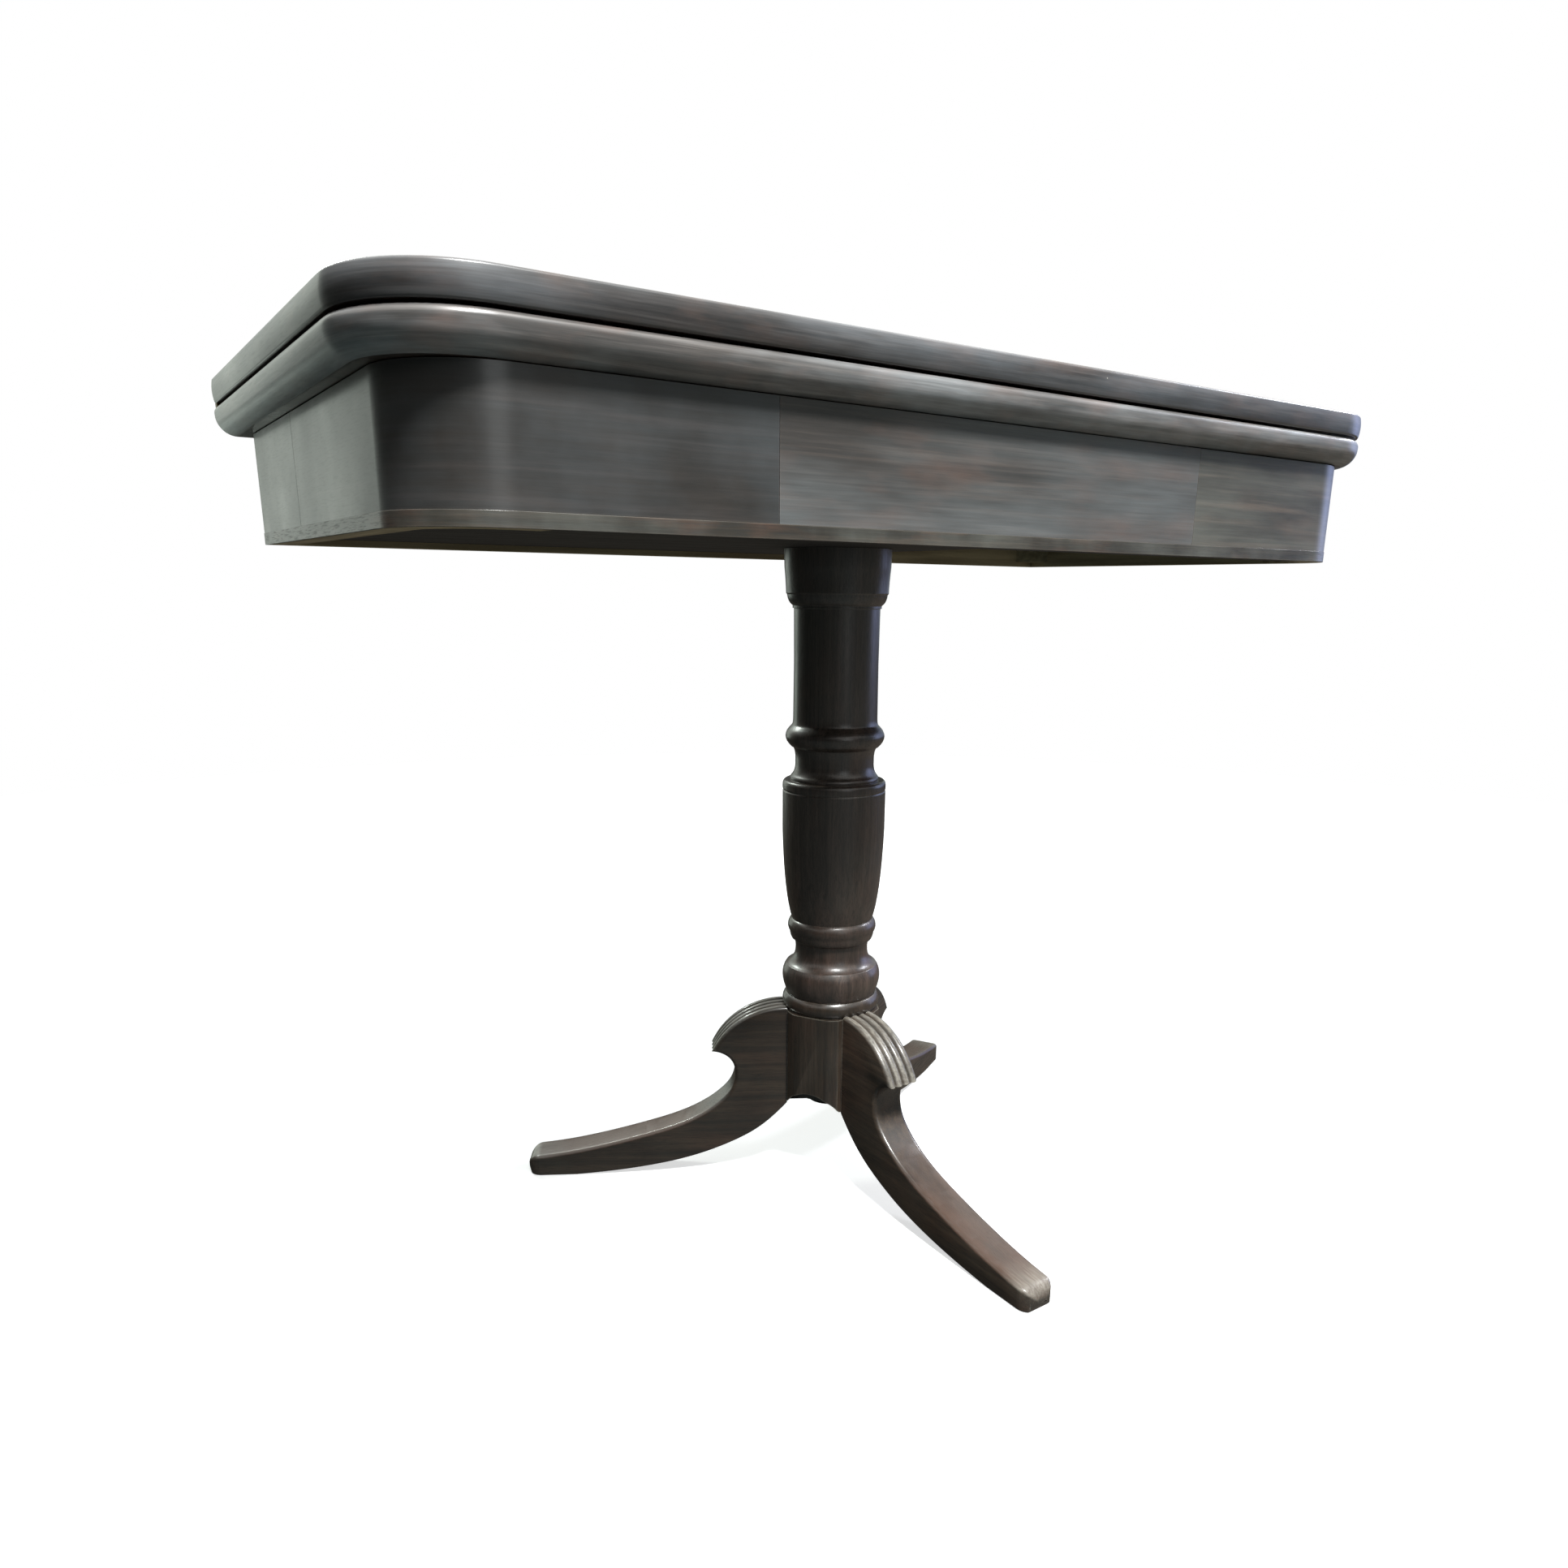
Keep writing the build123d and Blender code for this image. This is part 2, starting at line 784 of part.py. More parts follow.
def tongue(clearance=0):
    """The dovetail tongue that slides up into the hub, pointing along +X at the seat."""
    root = tongue_width / 2 + clearance
    tip = root + tongue_flare / 2
    inner = seat_distance - tongue_depth - clearance
    plan = Polyline(
        (seat_distance, -root), (seat_distance, root), (inner, tip), (inner, -tip),
        close=True,
    )
    return Pos(0, 0, hub_bottom) * extrude(make_face(plan), tongue_height + clearance)


def on_column(shape, azimuth=0):
    """Turn a piece about the column's axis and set it on that axis."""
    return Pos(0, column_offset) * Rot(0, 0, azimuth) * shape


def tripod_hub():
    hub = hub_blank()
    hub -= upright(
        column_foot_tenon_radius + joint_clearance,
        hub_height - column_foot_tenon_length - joint_clearance,
        hub_height,
    )
    for azimuth in leg_azimuths.values():
        hub -= Rot(0, 0, azimuth) * tongue(joint_clearance)
    hub -= screw_holes(tripod_screw, tripod_screw_places())
    return on_column(hub)


# Sabre legs: the outline lies in the X-Z plane, X outwards from the column's axis.
# The hollow's shares follow the knee's radius, and the upper curve's the reach past the hollow.
# The lower curve's shares follow the reach from the seat to the foot and the root's height.
# All heights in the first two follow the knee's height.

hollow_depth_share = 0.626
hollow_shares = [
    (0.776, 1.299),
    (0.678, 1.237),
    (hollow_depth_share, 1.139),
    (hollow_depth_share, 1.031),
    (0.678, 0.912),
]
upper_curve_shares = [
    (0.062, 0.804),
    (0.120, 0.706),
    (0.206, 0.602),
    (0.429, 0.438),
    (0.641, 0.325),
    (0.797, 0.260),
]
lower_curve_shares = [
    (0.810, 0.045),
    (0.640, 0.112),
    (0.506, 0.190),
    (0.396, 0.281),
    (0.268, 0.425),
    (0.135, 0.637),
    (0.054, 0.836),
]


def leg_outline():
    knee_out = knee_centre_out - seat_distance
    root_top = knee_centre_height + sqrt(knee_radius**2 - knee_out**2)
    crown_angle = radians(60)
    spur = (
        knee_centre_out + knee_radius * cos(radians(spur_angle)),
        0,
        knee_centre_height + knee_radius * sin(radians(spur_angle)),
    )
    crown = (
        knee_centre_out + knee_radius * cos(crown_angle),
        0,
        knee_centre_height + knee_radius * sin(crown_angle),
    )
    toe_lead = radians(toe_lead_angle)
    toe_start = (
        leg_reach - toe_round + toe_round * sin(toe_lead),
        0,
        foot_height - toe_round + toe_round * cos(toe_lead),
    )
    toe_diagonal = toe_round * cos(radians(45))
    toe_middle = (
        leg_reach - toe_round + toe_diagonal,
        0,
        foot_height - toe_round + toe_diagonal,
    )
    toe_front = (leg_reach, 0, foot_height - toe_round)
    toe_base = (leg_reach - toe_inset, 0, 0)
    heel = (leg_reach - foot_flat_length, 0, 0)
    hollow_out = knee_centre_out + hollow_depth_share * knee_radius
    hollow = [
        (knee_centre_out + out * knee_radius, 0, height * knee_centre_height)
        for out, height in hollow_shares
    ]
    upper = [
        (hollow_out + out * (leg_reach - hollow_out), 0, height * knee_centre_height)
        for out, height in upper_curve_shares
    ]
    lower = [
        (seat_distance + out * (heel[0] - seat_distance), 0, height * leg_root_bottom)
        for out, height in lower_curve_shares
    ]
    root_base = (seat_distance, 0, leg_root_bottom)
    root_head = (seat_distance, 0, root_top)
    return [
        Line(root_base, root_head),
        ThreePointArc(root_head, crown, spur),
        Spline(spur, *hollow, *upper, toe_start),
        ThreePointArc(toe_start, toe_middle, toe_front),
        Line(toe_front, toe_base),
        Line(toe_base, heel),
        Spline(heel, *lower, root_base),
    ]


def reed_cutter():
    """What lies outside four half-round reeds, turned about the knee's centre."""
    width = leg_thickness / reed_count
    crest = knee_centre_out + knee_radius
    valley = crest - reed_depth
    left = -leg_thickness / 2
    edges = []
    for index in range(reed_count):
        start = left + width * index
        edges.append(ThreePointArc(
            (valley, start, knee_centre_height),
            (crest, start + width / 2, knee_centre_height),
            (valley, start + width, knee_centre_height),
        ))
    outside = crest + overrun
    edges += list(Polyline(
        (valley, -left, knee_centre_height),
        (valley, overrun - left, knee_centre_height),
        (outside, overrun - left, knee_centre_height),
        (outside, left - overrun, knee_centre_height),
        (valley, left - overrun, knee_centre_height),
        (valley, left, knee_centre_height),
    ).edges())
    axis = Axis((knee_centre_out, 0, knee_centre_height), (0, -1, 0))
    section = make_face(edges).rotate(axis, spur_angle - reed_overlap_angle)
    seat_angle = degrees(acos((seat_distance - knee_centre_out) / knee_radius))
    return revolve(section, axis, seat_angle - spur_angle + 2 * reed_overlap_angle)


def toe_plan():
    """The leg seen from above, with its toe's corners rounded."""
    length = leg_reach - seat_distance
    plan = Pos(seat_distance + length / 2, 0) * Rectangle(length, leg_thickness)
    return fillet(plan.vertices().sort_by(Axis.X)[-2:], toe_corner_round)


def long_curves(blank):
    """The leg's long curved edges, lowest first."""
    curves = blank.edges().filter_by(GeomType.BSPLINE)
    return curves.filter_by(lambda edge: edge.length > leg_reach / 2).sort_by(Axis.Z)


def leg(azimuth):
    side_face = Pos(0, leg_thickness / 2) * make_face(leg_outline())
    blank = extrude(side_face, leg_thickness, dir=(0, -1, 0))
    blank &= extrude(toe_plan(), hub_height)
    blank = fillet(long_curves(blank)[:2], leg_lower_round)
    blank = fillet(long_curves(blank)[-2:], leg_upper_round)
    blank -= reed_cutter()
    blank -= hub_blank()
    blank += tongue()
    blank -= Rot(0, 0, -azimuth) * screw_holes(tripod_screw, tripod_screw_places())
    return on_column(blank, azimuth)


# Iron plate under the hub

def tripod_screw_places():
    """One screw into each leg's tongue and one into the hub under each panel."""
    level = hub_bottom - tripod_plate_thickness + screw_inset
    rings = [
        (leg_azimuths.values(), tripod_outer_screw_radius),
        (panel_azimuths, tripod_inner_screw_radius),
    ]
    return [
        upward(radius * cos(radians(azimuth)), radius * sin(radians(azimuth)), level)
        for azimuths, radius in rings
        for azimuth in azimuths
    ]


def tripod_plate():
    bottom = hub_bottom - tripod_plate_thickness
    plate = upright(tripod_plate_radius, bottom, hub_bottom)
    for azimuth in leg_azimuths.values():
        arm = block(0, tripod_arm_reach, -tripod_arm_width / 2, tripod_arm_width / 2, bottom, hub_bottom)
        plate += Rot(0, 0, azimuth) * arm
    return on_column(plate - screw_holes(tripod_screw, tripod_screw_places()))


def build_base():
    write("column", column())
    write("tripod_hub", tripod_hub())
    for name, azimuth in leg_azimuths.items():
        write(name, leg(azimuth))
    write("tripod_plate", tripod_plate())
    write("tripod_plate_screws", on_column(drive(tripod_screw, tripod_screw_places())))


def build_frieze():
    write("column_bearer", column_bearer())
    write("front_rail", front_rail())
    write("back_rail", back_rail())
    write("well_floor", well_floor())
    write("well_divider", well_divider())
    write("glue_blocks", glue_blocks())
    write("pivot_rail", pivot_rail())
    strip_bottom = frieze_top_z - slide_strip_recess
    write("slide_baize_strips", Part() + slide_strips(strip_bottom, slide_strip_thickness))
    write("frieze_strip", frieze_strip())
    outside = frieze_half_width + overrun
    front = frieze_front - overrun
    write("front_veneer_centre", veneer(front_joint_left, front_joint_right, front, 0))
    write("front_veneer_left", veneer(-outside, front_joint_left, front, side_joint))
    write("front_veneer_right", veneer(front_joint_right, outside, front, side_joint))
    for name, side in (("left", -1), ("right", 1)):
        x_min, x_max = side_limits(side, 0)
        write(f"side_veneer_{name}", veneer(x_min, x_max, side_joint, frieze_back))
        write(f"{name}_rail", side_rail(side))
        write(f"corner_block_{name}", corner_block(side))


def build_leaves():
    write("lower_leaf", lower_leaf())
    write("lower_baize", baize_sheet(lower_top_z - baize_recess, baize_edge_gap, baize_thickness))
    write("upper_leaf", upper_leaf())
    upper_baize_z = upper_bottom_z + baize_recess - baize_thickness
    write("upper_baize", baize_sheet(upper_baize_z, baize_edge_gap, baize_thickness))
    for name, side in (("left", -1), ("right", 1)):
        write(f"hinge_lower_plate_{name}", hinge_leaf(side, -1, 0, pin_seat_clearance))
        write(f"hinge_upper_plate_{name}", hinge_leaf(side, 1, 1, hinge_pin_clearance))
        write(f"hinge_pin_{name}", hinge_pin(side))
    for name, up in (("lower", -1), ("upper", 1)):
        places = hinge_screw_places(-1, up) + hinge_screw_places(1, up)
        write(f"hinge_screws_{name}", drive(hinge_screw, places))


def build_swivel():
    write("pivot_plate", pivot_plate())
    write("pivot_plate_screws", drive(plate_screw, pivot_screw_places()))
    write("pivot_bolt", pivot_bolt())
    write("pivot_washer", pivot_washer())
    write("pivot_nut", pivot_nut())
    write("stop_block", stop_block())
    write("stop_block_screws", drive(stop_screw, stop_screw_places()))


os.makedirs("parts", exist_ok=True)
build_base()
build_frieze()
build_leaves()
build_swivel()
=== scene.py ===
import bpy
import bmesh
import json
import math
from mathutils import Matrix, Vector


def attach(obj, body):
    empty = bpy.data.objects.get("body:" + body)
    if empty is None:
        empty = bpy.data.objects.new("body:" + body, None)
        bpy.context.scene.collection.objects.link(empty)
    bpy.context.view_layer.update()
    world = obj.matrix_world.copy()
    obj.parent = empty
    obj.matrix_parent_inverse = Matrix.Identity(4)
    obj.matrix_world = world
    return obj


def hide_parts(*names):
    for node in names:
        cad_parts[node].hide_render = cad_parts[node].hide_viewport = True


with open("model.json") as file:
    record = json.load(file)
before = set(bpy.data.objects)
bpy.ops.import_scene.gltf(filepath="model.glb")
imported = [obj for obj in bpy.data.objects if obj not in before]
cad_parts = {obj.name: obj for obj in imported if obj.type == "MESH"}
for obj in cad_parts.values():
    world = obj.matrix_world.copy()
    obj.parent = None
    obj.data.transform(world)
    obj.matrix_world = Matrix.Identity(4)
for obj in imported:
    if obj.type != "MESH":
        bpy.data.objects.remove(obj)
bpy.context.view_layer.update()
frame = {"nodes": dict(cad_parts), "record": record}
mm = 0.001
print("frame loaded:", len(frame["nodes"]), "nodes")

welding = {
    "within": 0.002,      # mm between corners that are one
    "flatBelow": 0.3,     # degrees between faces that are one
}


def fromHex(code):
    # sRGB hex to the linear values that the nodes take
    steps = [int(code[i:i + 2], 16) / 255 for i in (1, 3, 5)]
    return [v / 12.92 if v <= 0.04045 else ((v + 0.055) / 1.055) ** 2.4 for v in steps] + [1.0]


def addNode(tree, kind, sockets=None, stops=None, **settings):
    # sockets go by name, or by number where a name repeats: in MapRange 0 is the value, 1 and 2 the
    # range read, 3 and 4 the range given; in Mix 0 is the share, 6 and 7 the two colours
    made = tree.nodes.new("ShaderNode" + kind)
    for name, value in settings.items():
        setattr(made, name, value)
    for name, value in (sockets or {}).items():
        if isinstance(value, bpy.types.NodeSocket):
            tree.links.new(value, made.inputs[name])
        else:
            made.inputs[name].default_value = value
    for index, (place, colour) in enumerate(stops or []):
        elements = made.color_ramp.elements
        stop = elements[index] if index < 2 else elements.new(place)
        stop.position = place
        stop.color = colour
    return made


def addPiece(name, bm, materials, body, nodes, smoothAngle=32, bevel=0.0, bevelAngle=35):
    mesh = bpy.data.meshes.new(name)
    bm.to_mesh(mesh)
    bm.free()
    for face in mesh.polygons:
        face.use_smooth = True
    mesh.set_sharp_from_angle(angle=math.radians(smoothAngle))
    for material in materials:
        mesh.materials.append(material)
    piece = bpy.data.objects.new(name, mesh)
    bpy.context.scene.collection.objects.link(piece)
    if bevel:
        softened = piece.modifiers.new("softEdges", "BEVEL")
        softened.width = bevel * mm
        softened.segments = 3
        softened.limit_method = "ANGLE"
        softened.angle_limit = math.radians(bevelAngle)
        softened.harden_normals = True
        softened.use_clamp_overlap = True
    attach(piece, body)
    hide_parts(*nodes)


def copyOfNode(node):
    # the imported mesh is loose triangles: its copy is merged and flat faces joined again
    bm = bmesh.new()
    bm.from_mesh(frame["nodes"][node].data)
    bmesh.ops.remove_doubles(bm, verts=bm.verts, dist=welding["within"] * mm)
    bmesh.ops.dissolve_limit(bm, angle_limit=math.radians(welding["flatBelow"]), verts=bm.verts,
                             edges=bm.edges)
    return bm


def unroll(x, y, outline):
    # distance along a side, a rounded front corner and the front, from the middle of the front
    half, front, corner = (outline[key] * mm for key in ("halfWidth", "front", "corner"))
    side = 1 if x > 0 else -1
    straight = half - corner
    if y >= front + corner:
        return side * (straight + corner * math.pi / 2 + (y - front - corner))
    if abs(x) <= straight:
        return x
    angle = math.atan2(abs(x) - straight, front + corner - y)
    return side * (straight + corner * angle)


cameraSetup = {
    "place": (-609.69, -800.15, 566.4),   # mm, held a little below the top
    "turn": 34.75,        # degrees to the right of straight ahead
    "down": 15.52,
    "roll": 0.65,
    "lens": 25.52,        # mm
    "sensor": 36,         # mm wide
    "shift": (-0.01544, 0.07358),
    "nearest": 10,        # mm
}


def placeCamera(setup):
    data = bpy.data.cameras.new("roomCamera")
    data.lens = setup["lens"]
    data.sensor_width = setup["sensor"]
    data.shift_x, data.shift_y = setup["shift"]
    data.clip_start = setup["nearest"] * mm
    camera = bpy.data.objects.new("roomCamera", data)
    bpy.context.scene.collection.objects.link(camera)
    turned = Matrix.Rotation(math.radians(-setup["turn"]), 4, "Z")
    tipped = Matrix.Rotation(math.radians(90 - setup["down"]), 4, "X")
    rolled = Matrix.Rotation(math.radians(setup["roll"]), 4, "Z")
    moved = Matrix.Translation(Vector(setup["place"]) * mm)
    camera.matrix_world = moved @ turned @ tipped @ rolled
    bpy.context.scene.camera = camera


studio = {
    "backdrop": "#ffffff",
    # soft light that only the rough share of a finish takes up, by bearing
    "fill": [
        (-180, "#90b6be", 0.26), (-120, "#98b6bc", 0.22), (-60, "#a8bcbe", 0.28),
        (0, "#b4c4c0", 0.45), (70, "#c4c4bc", 0.85), (130, "#c8c4b8", 0.75), (180, "#90b6be", 0.26),
    ],
    # what the polish mirrors, from the floor up: sines of the height where one band fades into the
    # next, then colours and strengths by bearing from the back, degrees towards the right
    "bands": [
        (None, None, [
            (-180, "#b4bcba", 0.7), (-120, "#98a09e", 0.5), (-45, "#5a5c58", 0.4),
            (0, "#55524c", 0.4), (60, "#8a8278", 0.6), (110, "#b4aca0", 0.7), (180, "#b4bcba", 0.7),
        ]),
        (-0.19, -0.15, [
            (-180, "#b0b8b8", 0.5), (-120, "#7c7e7a", 0.35), (-20, "#4c4a46", 0.4),
            (-14, "#4c4a46", 0.4), (-12, "#c8d4ca", 2.2), (2, "#c8d4ca", 2.2), (8, "#404a48", 0.4),
            (60, "#6c6862", 0.4), (110, "#a09c94", 0.5), (180, "#b0b8b8", 0.5),
        ]),
        (-0.055, -0.035, [
            (-180, "#c9ccd0", 0.5), (-168, "#c9ccd0", 0.25), (-140, "#6c6a68", 0.2),
            (-60, "#5a5c5a", 0.16), (-24, "#8a908a", 0.25), (-15.5, "#c8d4ca", 0.5),
            (-13.4, "#dfe8de", 3.7), (-9.5, "#dfe8de", 1.1), (4, "#dfe8de", 1.7),
            (14, "#50605c", 0.2), (40, "#50605c", 0.2), (48, "#c9d4c8", 0.9), (66, "#bcc8e8", 0.8),
            (84, "#b6c3ea", 1.2), (95, "#b0beee", 3.2), (106, "#b6c4ea", 3.0), (114, "#bcc4c0", 0.4),
            (142, "#aebcb8", 0.5), (156, "#a8b0b0", 0.2), (168, "#c9ccd0", 0.25),
            (180, "#c9ccd0", 0.5),
        ]),
        (0.25, 0.75, [(-180, "#fbfaf6", 1.7), (180, "#fbfaf6", 1.7)]),
    ],
    # soft boxes: place and width in mm, power in watts, colour; each looks at the column's middle
    "lamps": [
        ("ceilingLamp", (-350, -1250, 2700), 560, 190, "#f8f9f8"),
        ("frontWindow", (-340, -2500, 1150), 1100, 4.5, "#eef2f2"),
        ("backWindow", (-420, 2300, 2000), 360, 34, "#eaf4ec"),
        ("rightLamp", (2300, -150, 1900), 420, 26, "#eceff8"),
    ],
    "aim": (0, 38, 350),
    "floorSize": 6.0,      # metres
    "floorSides": 96,
    "floorColour": "#d8d8d8",
    "floorGlow": 0.62,     # keeps the floor as pale as the backdrop, and the shadows on it light
}


def ringStops(colours):
    # a full turn of bearings as the stops of a ramp, each colour times its strength
    return [((angle + 180) / 360, [v * strength for v in fromHex(colour)[:3]] + [1])
            for angle, colour, strength in colours]


def buildWorld(setup):
    world = bpy.data.worlds.new("studioRoom")
    bpy.context.scene.world = world
    world.use_nodes = True
    tree = world.node_tree
    tree.nodes.clear()
    way = addNode(tree, "TexCoord")
    parts = addNode(tree, "SeparateXYZ", {0: way.outputs["Generated"]}).outputs
    bearing = addNode(tree, "Math", {0: parts[0], 1: parts[1]}, operation="ARCTAN2")
    share = addNode(tree, "MapRange", {0: bearing.outputs[0], 1: -math.pi, 2: math.pi}).outputs[0]
    room = None
    for low, high, colours in setup["bands"]:
        band = addNode(tree, "ValToRGB", {0: share}, stops=ringStops(colours)).outputs[0]
        if room:
            rise = addNode(tree, "MapRange", {0: parts[2], 1: low, 2: high},
                           interpolation_type="SMOOTHSTEP")
            band = addNode(tree, "Mix", {0: rise.outputs[0], 6: room, 7: band},
                           data_type="RGBA").outputs[2]
        room = band
    soft = addNode(tree, "ValToRGB", {0: share}, stops=ringStops(setup["fill"])).outputs[0]
    mirrored, fill, seen = (addNode(tree, "Background", {"Color": colour, "Strength": 1.0}).outputs[0]
                            for colour in (room, soft, fromHex(setup["backdrop"])))
    ray = addNode(tree, "LightPath").outputs
    lit = addNode(tree, "MixShader", {0: ray["Is Diffuse Ray"], 1: mirrored, 2: fill})
    mixed = addNode(tree, "MixShader", {0: ray["Is Camera Ray"], 1: lit.outputs[0], 2: seen})
    addNode(tree, "OutputWorld", {"Surface": mixed.outputs[0]})


def hangLamps(setup):
    aim = Vector(setup["aim"]) * mm
    for name, place, width, power, colour in setup["lamps"]:
        data = bpy.data.lights.new(name, "AREA")
        data.shape = "DISK"
        data.size = width * mm
        data.energy = power
        data.color = fromHex(colour)[:3]
        lamp = bpy.data.objects.new(name, data)
        bpy.context.scene.collection.objects.link(lamp)
        lamp.location = Vector(place) * mm
        lamp.rotation_euler = (aim - lamp.location).to_track_quat("-Z", "Y").to_euler()
        lamp.visible_camera = False


def buildFloor(setup):
    bm = bmesh.new()
    bmesh.ops.create_circle(bm, cap_ends=True, segments=setup["floorSides"],
                            radius=setup["floorSize"] / 2)
    mesh = bpy.data.meshes.new("studioFloor")
    bm.to_mesh(mesh)
    bm.free()
    floor = bpy.data.objects.new("studioFloor", mesh)
    bpy.context.scene.collection.objects.link(floor)
    # matt floor paint with a glow of its own: even and pale, with only faint shadows
    material = bpy.data.materials.new("paleFloorPaint")
    material.use_nodes = True
    tree = material.node_tree
    tree.nodes.clear()
    paint = addNode(tree, "BsdfDiffuse", {"Color": fromHex(setup["floorColour"])})
    glow = addNode(tree, "Emission", {"Color": fromHex(setup["backdrop"]),
                                      "Strength": setup["floorGlow"]})
    both = addNode(tree, "AddShader", {0: paint.outputs[0], 1: glow.outputs[0]})
    addNode(tree, "OutputMaterial", {"Surface": both.outputs[0]})
    mesh.materials.append(material)
    # the polish mirrors the lowest band of the room, not this floor
    floor.visible_glossy = False
    floor.visible_diffuse = False


bpy.context.scene.view_settings.view_transform = "Standard"
placeCamera(cameraSetup)
buildWorld(studio)
hangLamps(studio)
buildFloor(studio)
print("camera, room, lamps and floor set")


# Mahogany, French polished and then worn for two centuries: dark ribbon figure under a thin hard
# film, fine open pores, grey bloom where the film has clouded, red wood where it has rubbed
# through. Sizes are in mm.
mahoganyBase = {
    "dark": "#1b1815",
    "middle": "#2a2520",
    "light": "#3e3730",
    "red": "#4e3b30",
    "redAmount": 0.4,
    "haze": "#84827c",
    "hazeAmount": 0.25,
    "hazeSize": 70,
    "hazeStretch": 1.0,   # times longer along the grain
    "worn": "#8a7e70",
    "wornAmount": 0.5,
    "wornEdge": 1.6,      # how far an edge is rubbed
    "speck": "#b9b8ac",
    "speckGap": 24,       # between dents
    "speckSize": 0.03,    # share of the gap
    "speckAmount": 0.0,
    "ribbonLength": 260,
    "ribbonWidth": 7,
    "poreLength": 16,
    "poreWidth": 1.1,     # real pores are 0.2 wide: drawn as coarse as the render can hold
    "poreDepth": 0.05,
    "poreShade": 0.55,    # how dark the pores are against the wood
    "poreRough": 0.18,
    "streak": (0.5, 1.3),  # how far fine streaks break up the haze
    "rippleSize": 22,
    "rippleDepth": 0.04,
    "roughLow": 0.24,
    "roughHigh": 0.42,
    "coat": 0.35,
    "coatRough": 0.14,
    "grain": "X",
    "turn": (0.0, 0.0, 0.0),
    "unrolled": False,    # the grain follows the mesh's own run instead of an axis
    "meshRubAndHighlight": False,      # the mesh says where hands and feet have rubbed it, and where the reed crests take a painted highlight
    "bare": None,         # colour where the film is gone, by the mesh's attribute of that name
    "grime": None,        # painted shading: heights between which a painted shade or light fades out, and its brightness at the lower
    "seed": 0.0,
}


